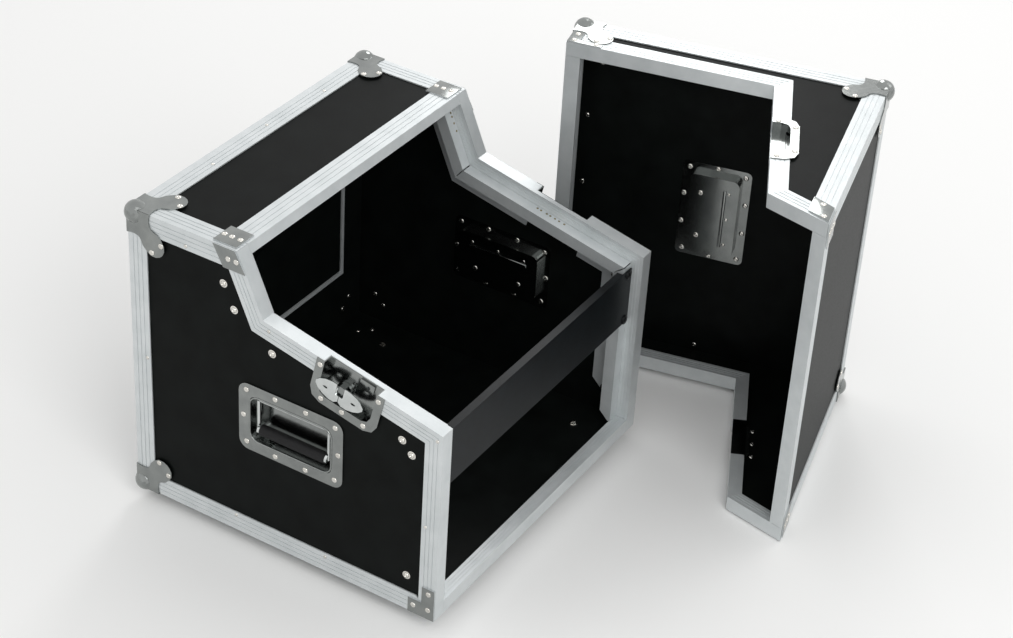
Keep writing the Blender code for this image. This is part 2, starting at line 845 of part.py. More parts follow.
def add_latches(frames):
    """Both latches on the base and both keepers on the lid."""
    level = -GAP - LATCH_SHEET - GAP + 1.6 * MM
    solids = {
        "latch_{}_dish": (tray("dish", LATCH_DEPTH, LATCH_RECESS_DEPTH, 1), "plated_steel"),
        "latch_{}_hub": (latch_hub("hub"), "plated_steel"),
        "latch_{}_hook": (latch_hook("hook"), "plated_steel"),
        "latch_{}_ear_rear": (latch_ear("ear_rear", -1), "polished_chrome"),
        "latch_{}_ear_front": (latch_ear("ear_front", 1), "polished_chrome"),
        "keeper_{}": (tray("keeper", KEEPER_DEPTH, KEEPER_RECESS_DEPTH, -1), "plated_steel"),
    }
    origins = {
        "latch_{}_hub": (0, *slope(HUB_AT, HUB_DEPTH)),
        "latch_{}_hook": (LATCH_FLOOR, *slope(LATCH_AT + 20 * MM, 10 * MM)),
        "latch_{}_ear_rear": (level, *slope(HUB_AT - 6.4 * MM, HUB_DEPTH)),
        "latch_{}_ear_front": (level, *slope(HUB_AT + 6.4 * MM, HUB_DEPTH)),
    }
    for label, (solid, slot) in solids.items():
        owner = frames["lid" if label.startswith("keeper") else "base"]
        x, y, z = origins.get(label, (0, 0, 0))
        other = mirrored(solid, label.format("right"))
        part(solid, label.format("left"), slot, owner, origin=(x, y, z))
        part(other, label.format("right"), slot, owner, origin=(WIDTH - x, y, z))


# ---------------------------------------------------------------- base


def base_side():
    """Left side board with the batten that its opening rim wraps."""
    depths = [SHEET + GAP] * 3 + [PANEL_INSET] * 3
    inner = PANEL_INSET + PLY
    board = slab("side", [inset(BASE, depths)], "x", PANEL_INSET, inner)
    reach = [
        (inner - MM, SHEET + 2 * GAP),
        (BATTEN_REACH, SHEET + 2 * GAP),
        (BATTEN_REACH, BATTEN_DEPTH),
        (inner - MM, BATTEN_DEPTH),
    ]
    batten = mitred("batten", BASE, 0, 3, reach)
    crown = box("crown", (0, 0, HEIGHT - inner - GAP), (0.05, DEPTH, HEIGHT + 0.01))
    sole = box("sole", (0, -0.01, -0.01), (0.05, 0.05, inner + GAP + 9 * MM))
    batten = cut(batten, crown, sole)
    return join(board, batten)


def add_base_boards(frames):
    """Side, bottom, back and top boards of the base."""
    base = frames["base"]
    side = base_side()
    side = cut(side, tray_hole("tray_hole", LATCH_RECESS_DEPTH, 1))
    places = {name: place for name, _, place in handle_places()}
    side = cut(side, handle_hole("handle_hole", places["base_handle_left"]))
    part(mirrored(side, "side_right"), "base_side_right", "black_laminate", base)
    part(side, "base_side_left", "black_laminate", base)
    inner = PANEL_INSET + PLY
    low, high = inner + GAP, WIDTH - inner - GAP
    lip = SHEET + GAP
    bottom = box("bottom", (low, lip, PANEL_INSET), (high, DEPTH - inner - GAP, inner))
    sill = box(
        "sill",
        (RIM_FACE + GAP, lip + GAP, inner - MM),
        (WIDTH - RIM_FACE - GAP, BATTEN_DEPTH, BATTEN_REACH),
    )
    part(join(bottom, sill), "base_bottom", "black_laminate", base)
    nose = mitre(BASE, 3, lip, PANEL_INSET)
    tail = mitre(BASE, 3, lip, inner)
    top = [
        nose,
        (DEPTH - inner - GAP, HEIGHT - PANEL_INSET),
        (DEPTH - inner - GAP, HEIGHT - inner),
        tail,
    ]
    part(slab("top", [top], "x", low, high), "base_top", "black_laminate", base)
    margin = HATCH_LINING + GAP
    outline = [
        (low, PANEL_INSET),
        (high, PANEL_INSET),
        (high, HEIGHT - PANEL_INSET),
        (low, HEIGHT - PANEL_INSET),
    ]
    hole = [
        (HATCH_LEFT - margin, HATCH_BOTTOM - margin),
        (HATCH_RIGHT + margin, HATCH_BOTTOM - margin),
        (HATCH_RIGHT + margin, HATCH_TOP + margin),
        (HATCH_LEFT - margin, HATCH_TOP + margin),
    ]
    back = slab("back", [outline, hole], "y", DEPTH - inner, DEPTH - PANEL_INSET)
    part(back, "base_back", "black_laminate", base)


def add_base_trims(frames):
    """Edge angles and opening rims of the base."""
    base = frames["base"]
    metal = "satin_aluminium"
    trim = shell_trim("base_trim", BASE, 3, 6, 1)
    part(mirrored(trim, "trim_r"), "base_trim_right", metal, base)
    part(trim, "base_trim_left", metal, base)
    rim = mitred("base_rim", BASE, 0, 3, rim_section())
    rim = cut(rim, tray_hole("rim_hole", LATCH_RECESS_DEPTH, 1))
    outline = [
        mitre(BASE, 3, SHEET + 0.7 * GAP, PANEL_INSET - GAP),
        (CREST_Y + LEG, HEIGHT - PANEL_INSET + GAP),
        (CREST_Y + LEG, HEIGHT - PANEL_INSET - PLY - GAP),
        mitre(BASE, 3, SHEET + 0.7 * GAP, PANEL_INSET + PLY + GAP),
    ]
    rim = cut(rim, *board_notches("base", outline, 1))
    part(mirrored(rim, "rim_r"), "base_rim_right", metal, base)
    part(rim, "base_rim_left", metal, base)
    down = unit(CREST, KNEE)
    face = (CREST[0] + down[0] * CREST_FACE, CREST[1] + down[1] * CREST_FACE)
    rear = REAR_LEG
    runs = {
        "base_trim_top_front": (
            [face, CREST, (CREST_Y + FRONT_LEG, HEIGHT)],
            RIM_FACE + GAP,
            leg_grooves(1, FRONT_LEG),
        ),
        "base_trim_bottom_front": (
            [(LEG, 0), (0, 0), (0, RIM_FACE), (RIM_INNER, RIM_FACE)],
            RIM_FACE + GAP,
            leg_grooves(2, RIM_INNER),
        ),
        "base_trim_rear_top": (
            [(DEPTH - REAR_LEG_TOP, HEIGHT), (DEPTH, HEIGHT), (DEPTH, HEIGHT - rear)],
            LEG + GAP,
            leg_grooves(0, LEG) + leg_grooves(1, rear),
        ),
        "base_trim_rear_bottom": (
            [(DEPTH, rear), (DEPTH, 0), (DEPTH - REAR_LEG_UNDER, 0)],
            LEG + GAP,
            leg_grooves(0, rear),
        ),
    }
    for name, (path, start, grooves) in runs.items():
        part(cross_member(name, path, start, grooves), name, metal, base)


def add_base_balls(frames):
    """Ball corners at the four rear corners of the base."""
    for x, sx, side in ((0, 1, "left"), (WIDTH, -1, "right")):
        for z, sz, level in ((HEIGHT, -1, "top"), (0, 1, "bottom")):
            name = f"base_ball_{level}_{side}"
            solid = ball_corner(name + "_s", (x, DEPTH, z), (sx, -1, sz))
            part(solid, name, "plated_steel", frames["base"])


def add_feet(frames):
    """Rubber feet under the bottom board."""
    for x, side in ((FOOT_INSET_X, "left"), (WIDTH - FOOT_INSET_X, "right")):
        for y, end in ((FOOT_FRONT_Y, "front"), (FOOT_REAR_Y, "rear")):
            top = (x, y, PANEL_INSET - GAP)
            sole = (x, y, -FOOT_HEIGHT)
            foot = rod("foot", sole, top, FOOT_RADIUS - 3 * MM, 24, FOOT_RADIUS)
            part(soften(foot), f"foot_{end}_{side}", "foot_rubber", frames["base"])


def rail():
    """Left rack rail: folded section in three runs that follow the opening."""
    wall = PANEL_INSET + PLY + GAP
    back = RAIL_DEPTH + RAIL_WEB
    section = [
        (RAIL_OUTER, RAIL_DEPTH),
        (RAIL_INNER, RAIL_DEPTH),
        (RAIL_INNER, back),
        (wall + RAIL_SHEET, back),
        (wall + RAIL_SHEET, RAIL_WALL_END),
        (wall, RAIL_WALL_END),
        (wall, back - RAIL_SHEET),
        (RAIL_INNER - RAIL_SHEET, back - RAIL_SHEET),
        (RAIL_INNER - RAIL_SHEET, RAIL_DEPTH + RAIL_SHEET),
        (RAIL_OUTER, RAIL_DEPTH + RAIL_SHEET),
    ]
    body = mitred("rail", BASE, 0, 3, section)
    above = box("above", (0, 0, RAIL_TOP), (0.1, 0.5, 0.6))
    below = box("below", (0, -0.05, -0.05), (0.1, 0.2, RAIL_FOOT))
    relief = slab(
        "relief",
        [half_dish(LATCH_RECESS_HALF + 3 * MM, 75 * MM, 2 * MM, 1, 20 * MM)],
        "x",
        0,
        LATCH_FLOOR + LATCH_SHEET + GAP,
    )
    body = cut(body, above, below, relief)
    for index in (1, 2):
        near = mitre(BASE, index, RAIL_DEPTH - 3 * MM)
        far = mitre(BASE, index, back - RAIL_SHEET / 2)
        run = unit(near, far)
        side = inward(run)
        width = 0.8 * MM
        kerf = [
            (near[0] + side[0] * width, near[1] + side[1] * width),
            (far[0] + side[0] * width, far[1] + side[1] * width),
            (far[0] - side[0] * width, far[1] - side[1] * width),
            (near[0] - side[0] * width, near[1] - side[1] * width),
        ]
        body = cut(body, slab("kerf", [kerf], "x", RAIL_OUTER - MM, RAIL_INNER + MM))
    return body


def add_rack(frames):
    """Both rails and the blank panel screwed to their front runs."""
    base = frames["base"]
    left = rail()
    part(mirrored(left, "rail_r"), "rail_right", "rail_aluminium", base)
    part(left, "rail_left", "rail_aluminium", base)
    low = PANEL_CENTRE_Z - PANEL_HEIGHT / 2
    high = PANEL_CENTRE_Z + PANEL_HEIGHT / 2
    face = RAIL_DEPTH - GAP - PANEL_SHEET
    plate = box(
        "blank",
        (WIDTH / 2 - PANEL_WIDTH / 2, face, low),
        (WIDTH / 2 + PANEL_WIDTH / 2, face + PANEL_SHEET, high),
    )
    inner = RAIL_INNER + 4 * MM
    folds = [
        box(
            "fold",
            (inner, face + PANEL_SHEET / 2, z),
            (WIDTH - inner, face + PANEL_SHEET + PANEL_RETURN, z + 1.5 * MM),
        )
        for z in (low + 0.4 * MM, high - 1.9 * MM)
    ]
    part(join(plate, *folds), "blank_panel", "blank_panel_paint", base)


def add_hatch(frames):
    """Rear hatch: lined frame with the fixed hinge leaf, and the door."""
    base = frames["base"]
    inner = DEPTH - PANEL_INSET - PLY
    outer = DEPTH - PANEL_INSET + GAP
    flange_face = outer + 1.2 * MM

    def ring(grow):
        return [
            (HATCH_LEFT - grow, HATCH_BOTTOM - grow),
            (HATCH_RIGHT + grow, HATCH_BOTTOM - grow),
            (HATCH_RIGHT + grow, HATCH_TOP + grow),
            (HATCH_LEFT - grow, HATCH_TOP + grow),
        ]

    lining = slab("lining", [ring(HATCH_LINING), ring(0)], "y", inner, flange_face - 0.4 * MM)
    flange = slab("flange", [ring(HATCH_FLANGE), ring(0)], "y", outer, flange_face)
    axis_y = DEPTH + HINGE_OUT
    leaf = box(
        "leaf",
        (HINGE_X + 3.4 * MM, outer + 0.4 * MM, HINGE_Z - HINGE_HALF),
        (HINGE_X + 28 * MM, flange_face + 0.8 * MM, HINGE_Z + HINGE_HALF),
    )
    third = HINGE_HALF / 3
    knuckles = [
        rod(
            "knuckle",
            (HINGE_X, axis_y, HINGE_Z + low),
            (HINGE_X, axis_y, HINGE_Z + high),
            HINGE_RADIUS,
            12,
        )
        for low, high in ((-3 * third, -third - GAP), (third + GAP, 3 * third))
    ]
    webs = [
        box(
            "web",
            (HINGE_X - 0.5 * MM, flange_face - 0.3 * MM, HINGE_Z + low),
            (HINGE_X + 4.5 * MM, axis_y, HINGE_Z + high),
        )
        for low, high in ((-3 * third + 0.4 * MM, -third - 0.7 * MM), (third + 0.7 * MM, 3 * third - 0.4 * MM))
    ]
    frame = join(lining, flange, leaf, *webs, *knuckles)
    part(frame, "hatch_frame", "satin_aluminium", base)
    board = slab("door", [ring(-DOOR_GAP)], "y", inner + 0.6 * MM, DEPTH - PANEL_INSET)
    middle = ((HATCH_LEFT + HATCH_RIGHT) / 2, (HATCH_BOTTOM + HATCH_TOP) / 2)
    boss = rod(
        "boss",
        (middle[0], inner - 6 * MM, middle[1]),
        (middle[0], inner + 3 * MM, middle[1]),
        CUP_RADIUS,
        24,
    )
    cup = rod(
        "cup",
        (middle[0], inner - 4.5 * MM, middle[1]),
        (middle[0], DEPTH + 2 * MM, middle[1]),
        CUP_RADIUS - 3 * MM,
        24,
    )
    door_leaf = box(
        "door_leaf",
        (HINGE_X - 32 * MM, DEPTH - PANEL_INSET - 0.5 * MM, HINGE_Z - HINGE_HALF),
        (HINGE_X - 8 * MM, DEPTH - PANEL_INSET + 1.5 * MM, HINGE_Z + HINGE_HALF),
    )
    tongue = box(
        "tongue",
        (HINGE_X - 9 * MM, DEPTH - PANEL_INSET + 0.1 * MM, HINGE_Z - third + 0.5 * MM),
        (HINGE_X - 6.2 * MM, axis_y - 0.2 * MM, HINGE_Z + third - 0.5 * MM),
    )
    bridge = box(
        "bridge",
        (HINGE_X - 8.6 * MM, axis_y - 1.5 * MM, HINGE_Z - third + 0.9 * MM),
        (HINGE_X - 0.5 * MM, axis_y + 0.6 * MM, HINGE_Z + third - 0.9 * MM),
    )
    barrel = rod(
        "barrel",
        (HINGE_X, axis_y, HINGE_Z - third + GAP / 2),
        (HINGE_X, axis_y, HINGE_Z + third - GAP / 2),
        HINGE_RADIUS,
        12,
    )
    door = cut(join(board, boss, door_leaf, tongue, bridge, barrel), cup)
    part(door, "hatch_door", "black_laminate", base, origin=(HINGE_X, axis_y, HINGE_Z))


# ---------------------------------------------------------------- lid


def lid_outline():
    """Closed outline of the lid's side, clockwise from its bottom front corner."""
    crest = (CREST_Y - 1.1 * SEAM_GAP, HEIGHT)
    knee = mitre(BASE, 2, -SEAM_GAP)
    brow = mitre(BASE, 1, -SEAM_GAP)
    return [
        (-LID_DEPTH, 0.0),
        (-LID_DEPTH, HEIGHT),
        crest,
        knee,
        brow,
        (-SEAM_GAP, 0.0),
    ]


LID = lid_outline()


def add_lid_boards(frames):
    """Side, front and top boards of the lid."""
    lid = frames["lid"]
    lip = SHEET + GAP
    inner = PANEL_INSET + PLY
    depths = [PANEL_INSET, PANEL_INSET, lip, lip, lip, PANEL_INSET]
    board = slab("lid_side", [inset(LID, depths)], "x", PANEL_INSET, inner)
    reach = [
        (inner - MM, lip + GAP),
        (BATTEN_REACH, lip + GAP),
        (BATTEN_REACH, BATTEN_DEPTH),
        (inner - MM, BATTEN_DEPTH),
    ]
    batten = mitred("lid_batten", LID, 2, 5, reach)
    crown = box("crown", (0, -0.2, HEIGHT - 20.4 * MM), (0.05, DEPTH, HEIGHT + 0.01))
    sole = box("sole", (0, -0.1, -0.01), (0.05, 0.05, BATTEN_REACH + GAP))
    side = join(board, cut(batten, crown, sole))
    side = cut(side, tray_hole("keeper_hole", KEEPER_RECESS_DEPTH, -1))
    part(mirrored(side, "lid_side_r"), "lid_side_right", "black_laminate", lid)
    part(side, "lid_side_left", "black_laminate", lid)
    low, high = inner + GAP, WIDTH - inner - GAP
    front_y = -LID_DEPTH
    toe = -SEAM_GAP - lip
    front = [
        (front_y + PANEL_INSET, PANEL_INSET),
        (front_y + PANEL_INSET, HEIGHT - inner - GAP),
        (front_y + inner, HEIGHT - inner - GAP),
        (front_y + inner, inner),
        (toe, inner),
        (toe, PANEL_INSET),
    ]
    across = (RIM_FACE + GAP, WIDTH - RIM_FACE - GAP)
    sill = box(
        "lid_sill",
        (across[0], -BATTEN_DEPTH, inner - MM),
        (across[1], toe - GAP, BATTEN_REACH),
    )
    places = {name: place for name, _, place in handle_places()}
    solid = join(slab("lid_front", [front], "x", low, high), sill)
    solid = cut(solid, handle_hole("lid_hole", places["lid_handle"]))
    part(solid, "lid_front", "black_laminate", lid)
    tip = mitre(LID, 2, PANEL_INSET, lip)
    tail = mitre(LID, 2, inner, lip)
    top = [
        (front_y + PANEL_INSET, HEIGHT - PANEL_INSET),
        tip,
        tail,
        (front_y + PANEL_INSET, HEIGHT - inner),
    ]
    upper = mitre(LID, 2, inner - MM, lip + GAP)
    under = mitre(LID, 2, NOSE_DEPTH, lip + GAP)
    block = [upper, under, (under[0] - NOSE_REACH, under[1]), (under[0] - NOSE_REACH, upper[1])]
    board = join(slab("lid_top", [top], "x", low, high), slab("nose", [block], "x", *across))
    part(board, "lid_top", "black_laminate", lid)


def add_lid_trims(frames):
    """Edge angles and seam rims of the lid."""
    lid = frames["lid"]
    metal = "satin_aluminium"
    trim = shell_trim("lid_trim", LID, 5, 8, -1)
    part(mirrored(trim, "lid_trim_r"), "lid_trim_right", metal, lid)
    part(trim, "lid_trim_left", metal, lid)
    rim = mitred("lid_rim", LID, 2, 5, rim_section())
    rim = cut(rim, tray_hole("lid_rim_hole", KEEPER_RECESS_DEPTH, -1))
    outline = [
        mitre(LID, 2, PANEL_INSET - GAP, SHEET + 0.7 * GAP),
        mitre(LID, 2, PANEL_INSET + PLY + GAP, SHEET + 0.7 * GAP),
        (CREST_Y - 2 * LEG, HEIGHT - PANEL_INSET - PLY - GAP),
        (CREST_Y - 2 * LEG, HEIGHT - PANEL_INSET + GAP),
    ]
    rim = cut(rim, *board_notches("lid", outline, -1))
    part(mirrored(rim, "lid_rim_r"), "lid_rim_right", metal, lid)
    part(rim, "lid_rim_left", metal, lid)
    front_y = -LID_DEPTH
    crest = LID[2]
    down = unit(crest, LID[3])
    sill = (crest[0] + down[0] * RIM_FACE, crest[1] + down[1] * RIM_FACE)
    toe_y = -SEAM_GAP
    both = leg_grooves(0, LEG) + leg_grooves(1, LEG)
    runs = {
        "lid_trim_bottom_front": (
            [(front_y + LEG, 0), (front_y, 0), (front_y, LEG)],
            LEG + GAP,
            both,
        ),
        "lid_trim_top_front": (
            [(front_y, HEIGHT - LEG), (front_y, HEIGHT), (front_y + LEG, HEIGHT)],
            LEG + GAP,
            both,
        ),
        "lid_rim_top": (
            [(crest[0] - LEG, HEIGHT), crest, sill, (sill[0] - RIM_INNER, sill[1])],
            RIM_FACE + GAP,
            leg_grooves(0, LEG) + leg_grooves(2, RIM_INNER),
        ),
        "lid_rim_bottom": (
            [(toe_y - RIM_INNER, RIM_FACE), (toe_y, RIM_FACE), (toe_y, 0), (toe_y - LEG, 0)],
            RIM_FACE + GAP,
            leg_grooves(0, RIM_INNER) + leg_grooves(2, LEG),
        ),
    }
    for name, (path, start, grooves) in runs.items():
        part(cross_member(name, path, start, grooves), name, metal, lid)


def add_lid_balls(frames):
    """Ball corners at the four front corners of the lid."""
    for x, sx, side in ((0, 1, "left"), (WIDTH, -1, "right")):
        for z, sz, level in ((HEIGHT, -1, "top"), (0, 1, "bottom")):
            name = f"lid_ball_{level}_{side}"
            solid = ball_corner(name + "_s", (x, -LID_DEPTH, z), (sx, 1, sz))
            part(solid, name, "plated_steel", frames["lid"])


# ---------------------------------------------------------------- assembly


def lid_stand():
    """Placement of the lid: on its left side, leaning on two balls and a bracket."""
    lean = math.asin((BALL_CENTRE - GAP - PLATE) / (CREST_Y + LID_DEPTH - BALL_CENTRE))
    along = Vector((math.cos(LID_YAW), math.sin(LID_YAW), 0))
    up = Vector((0, 0, 1))
    across = up.cross(along)
    x_axis = math.cos(lean) * up + math.sin(lean) * along
    y_axis = math.cos(lean) * along - math.sin(lean) * up
    turn = Matrix((x_axis, y_axis, across)).transposed().to_4x4()
    reach = LID_DEPTH - BALL_CENTRE
    rise = BALL_RADIUS - BALL_CENTRE * math.cos(lean) - reach * math.sin(lean)
    place = (LID_FOOT[0] - SET_CENTRE[0], LID_FOOT[1] - SET_CENTRE[1], rise)
    return Matrix.Translation(place) @ turn


def add_frames():
    """The empties that carry the base and the lid."""
    frames = {}
    places = {
        "base": Matrix.Translation((-SET_CENTRE[0], -SET_CENTRE[1], FOOT_HEIGHT)),
        "lid": lid_stand(),
    }
    for name, place in places.items():
        empty = bpy.data.objects.new(name + "_frame", None)
        collection(PARTS).objects.link(empty)
        empty.matrix_world = place
        frames[name] = empty
    return frames


def main():
    for obj in list(bpy.data.objects):
        bpy.data.objects.remove(obj)
    frames = add_frames()
    add_base_boards(frames)
    add_base_trims(frames)
    add_base_balls(frames)
    add_feet(frames)
    add_rack(frames)
    add_hatch(frames)
    add_handles(frames)
    add_latches(frames)
    add_lid_boards(frames)
    add_lid_trims(frames)
    add_lid_balls(frames)


main()
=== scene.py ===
"""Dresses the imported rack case: finishes, plates, fasteners, grips, stage and camera."""

from __future__ import annotations

import json
import logging
import math
from dataclasses import dataclass, field
from enum import Enum
from typing import Callable, Iterable

import bpy
from mathutils import Matrix, Vector

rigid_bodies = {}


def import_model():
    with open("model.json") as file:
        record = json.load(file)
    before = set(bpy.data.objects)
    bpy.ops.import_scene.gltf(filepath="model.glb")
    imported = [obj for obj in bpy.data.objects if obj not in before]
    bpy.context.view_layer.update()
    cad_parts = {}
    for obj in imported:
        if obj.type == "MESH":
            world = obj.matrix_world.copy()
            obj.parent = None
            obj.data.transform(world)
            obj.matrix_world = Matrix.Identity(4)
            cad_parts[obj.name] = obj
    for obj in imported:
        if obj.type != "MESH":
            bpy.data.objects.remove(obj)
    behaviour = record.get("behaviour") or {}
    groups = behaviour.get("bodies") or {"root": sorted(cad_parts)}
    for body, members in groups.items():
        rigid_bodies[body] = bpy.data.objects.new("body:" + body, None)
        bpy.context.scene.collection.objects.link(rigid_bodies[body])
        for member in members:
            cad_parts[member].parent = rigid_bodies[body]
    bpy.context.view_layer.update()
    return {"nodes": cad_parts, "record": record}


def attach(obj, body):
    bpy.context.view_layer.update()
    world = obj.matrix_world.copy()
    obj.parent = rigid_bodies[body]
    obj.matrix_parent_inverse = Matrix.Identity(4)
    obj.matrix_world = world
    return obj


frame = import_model()

MM = 0.001
LOG = logging.getLogger("rack_case")

Point = tuple[float, float, float]
Pair = tuple[float, float]
Test = Callable[[Vector, Vector], bool]


class Face(Enum):
    """A face of the case that fasteners sit on, as its outward direction."""

    LEFT = (-1.0, 0.0, 0.0)
    RIGHT = (1.0, 0.0, 0.0)
    FRONT = (0.0, -1.0, 0.0)
    REAR = (0.0, 1.0, 0.0)
    TOP = (0.0, 0.0, 1.0)


# ---------------- places


@dataclass(frozen=True)
class CasePlan:
    """Sizes of the case that the fittings are set out from, in millimetres."""

    width: float = 530.0
    depth: float = 494.4
    height: float = 454.7
    front_height: float = 304.0
    knee: Pair = (277.0, 365.0)  # Where the steep and the gentle slope meet, as y and z.
    crest_y: float = 317.0  # The upper end of the steep slope.
    lid_depth: float = 72.0
    handle_centre: Pair = (234.0, 201.5)  # On the base's sides, as y and z.
    # Faces that stand outside the envelope.
    plate_face: float = 1.6
    plate_skin: float = 0.3
    latch_face: float = 1.5
    # Faces inside the envelope, as depths from it.
    board_face: float = 2.1
    board_back: float = 11.1
    rail_front: float = 18.0
    rail_web: float = 13.4
    handle_face: float = 0.3
    handle_back: float = 12.9
    dish_back: float = 24.0
    rim_inner: float = 22.0
    # How the two halves stand: the base on its feet, and the lid turned, on its left side.
    foot: float = 22.0
    set_centre: Pair = (408.68, 104.98)
    lid_yaw: float = 192.71
    lid_foot: Pair = (648.8, 223.3)
    ball_radius: float = 16.0
    ball_centre: float = 8.0

    def base_matrix(self) -> Matrix:
        """Placement of the base's own frame, from millimetres to metres."""
        shift = Vector((-self.set_centre[0], -self.set_centre[1], self.foot)) * MM
        return Matrix.Translation(shift) @ Matrix.Scale(MM, 4)

    def lid_matrix(self) -> Matrix:
        """Placement of the lid's own frame, from millimetres to metres.

        Returns:
            The placement, leaning a little, since its balls stand out further than its plates.
        """
        reach = self.lid_depth - self.ball_centre
        lean = math.asin((self.ball_centre - self.plate_face) / (self.crest_y + reach))
        yaw = math.radians(self.lid_yaw)
        along = Vector((math.cos(yaw), math.sin(yaw), 0.0))
        up = Vector((0.0, 0.0, 1.0))
        x_axis = math.cos(lean) * up + math.sin(lean) * along
        y_axis = math.cos(lean) * along - math.sin(lean) * up
        turn = Matrix((x_axis, y_axis, up.cross(along))).transposed().to_4x4()
        rise = self.ball_radius - self.ball_centre * math.cos(lean) - reach * math.sin(lean)
        foot_x, foot_y = (f - c for f, c in zip(self.lid_foot, self.set_centre))
        place = Matrix.Translation(Vector((foot_x, foot_y, rise)) * MM)
        return place @ turn @ Matrix.Scale(MM, 4)

    def run(self, start: Pair, end: Pair, along: float, depth: float) -> tuple[Pair, Point]:
        """A point on one sloping run of the front, and the way that the run faces.

        Args:
            start: Upper end of the run, as y and z.
            end: Lower end of the run.
            along: Distance from the upper end.
            depth: Distance inwards, square to the run.

        Returns:
            The point's y and z, and the outward direction.
        """
        step = (Vector(end) - Vector(start)).normalized()
        inward = Vector((-step.y, step.x))
        point = Vector(start) + step * along + inward * depth
        return (point.x, point.y), (0.0, -inward.x, -inward.y)

    def slope(self, along: float, depth: float) -> Pair:
        """The y and z of a point on the gentle slope, measured from the knee."""
        return self.run(self.knee, (0.0, self.front_height), along, depth)[0]


PLAN = CasePlan()
BASE = PLAN.base_matrix()
LID = PLAN.lid_matrix()
# Mirrors a piece drawn for the left side onto the right side.
ACROSS = Matrix.Translation((PLAN.width, 0, 0)) @ Matrix.Scale(-1, 4, (1, 0, 0))


def seat(way: Point, point: Point, frame_matrix: Matrix, spin: float = 0.0) -> Matrix:
    """Placement of a piece whose own axis is z.

    Args:
        way: The direction that the piece faces.
        point: Its seat in the frame's millimetres.
        frame_matrix: Placement of that frame.
        spin: Turn about its own axis in degrees.

    Returns:
        The placement in the model's frame.
    """
    turn = Vector((0, 0, 1)).rotation_difference(Vector(way)).to_matrix().to_4x4()
    own = Matrix.Rotation(math.radians(spin), 4, "Z")
    return frame_matrix @ Matrix.Translation(Vector(point)) @ turn @ own


# ---------------- finishes


def linear(code: str) -> tuple[float, float, float, float]:
    """An sRGB hex colour as linear RGBA.

    Args:
        code: Six hex digits with a leading #.

    Returns:
        The linear colour with full alpha.
    """
    channels = [int(code[i : i + 2], 16) / 255 for i in (1, 3, 5)]
    plain = [c / 12.92 if c <= 0.04045 else ((c + 0.055) / 1.055) ** 2.4 for c in channels]
    return (plain[0], plain[1], plain[2], 1.0)


def add_node(
    tree: bpy.types.NodeTree,
    kind: str,
    values: dict[str | int, object] | None = None,
    links: dict[str | int, bpy.types.NodeSocket] | None = None,
    stops: tuple[tuple[float, str], ...] = (),
    **settings: object,
) -> bpy.types.Node:
    """Adds a shader node.

    Args:
        tree: The node tree to add to.
        kind: Blender's name for the node type.
        values: Input names or numbers and their values.
        links: Input names or numbers and the sockets that feed them.
        stops: Positions and hex colours of its two ramp elements, if it has a ramp.
        **settings: Properties of the node itself.

    Returns:
        The new node.
    """
    made = tree.nodes.new(kind)
    for key, value in settings.items():
        setattr(made, key, value)
    for key, value in (values or {}).items():
        made.inputs[key].default_value = value
    for key, source in (links or {}).items():
        tree.links.new(source, made.inputs[key])
    for index, (position, code) in enumerate(stops):
        made.color_ramp.elements[index].position = position
        made.color_ramp.elements[index].color = linear(code)
    return made


@dataclass(frozen=True)
class Finish:
    """A real finish: two close tones in soft clouds, and a grain in its gloss and relief."""

    name: str = "plain_finish"
    dark: str = "#808080"
    pale: str = "#909090"
    roughness: Pair = (0.4, 0.5)
    metallic: float = 0.0
    specular: float = 0.5
    cloud_mm: float = 18.0
    grain_mm: float = 1.2
    rise_mm: float = 0.02
    spread: Pair = (0.30, 0.72)  # Where the two tones stand in the clouds' range.

    def build(self) -> bpy.types.Material:
        """The material, with its patterns on Object coordinates in real millimetres.

        Returns:
            The new material.
        """
        material = bpy.data.materials.new(self.name)
        material.use_nodes = True
        tree = material.node_tree
        shader = tree.nodes["Principled BSDF"]
        spot = {"Vector": add_node(tree, "ShaderNodeTexCoord").outputs["Object"]}
        broad = {"Scale": 1 / (self.cloud_mm * MM), "Detail": 3.0, "Roughness": 0.55}
        fine = {"Scale": 1 / (self.grain_mm * MM), "Detail": 1.5, "Roughness": 0.5}
        cloud = add_node(tree, "ShaderNodeTexNoise", broad, spot).outputs["Fac"]
        grain = add_node(tree, "ShaderNodeTexNoise", fine, spot).outputs["Fac"]
        stops = tuple(zip(self.spread, (self.dark, self.pale)))
        tone = add_node(tree, "ShaderNodeValToRGB", links={"Fac": cloud}, stops=stops)
        gloss_range = {"To Min": self.roughness[0], "To Max": self.roughness[1]}
        gloss = add_node(tree, "ShaderNodeMapRange", gloss_range, {"Value": grain})
        relief = {"Strength": 1.0, "Distance": self.rise_mm * MM}
        lift = add_node(tree, "ShaderNodeBump", relief, {"Height": grain})
        tree.links.new(tone.outputs["Color"], shader.inputs["Base Color"])
        tree.links.new(gloss.outputs["Result"], shader.inputs["Roughness"])
        tree.links.new(lift.outputs["Normal"], shader.inputs["Normal"])
        shader.inputs["Metallic"].default_value = self.metallic
        shader.inputs["Specular IOR Level"].default_value = self.specular
        return material


@dataclass(frozen=True)
class PhenolicLaminate(Finish):
    """Phenolic film pressed on plywood: deep black, a low sheen, faintly pebbled.

    The real pebble is about half a millimetre, and is drawn coarser so that it shows.
    """

    name: str = "phenolic_laminate"
    dark: str = "#080a09"
    pale: str = "#0f1211"
    roughness: Pair = (0.36, 0.50)
    specular: float = 0.06
    cloud_mm: float = 38.0
    grain_mm: float = 2.4
    rise_mm: float = 0.035


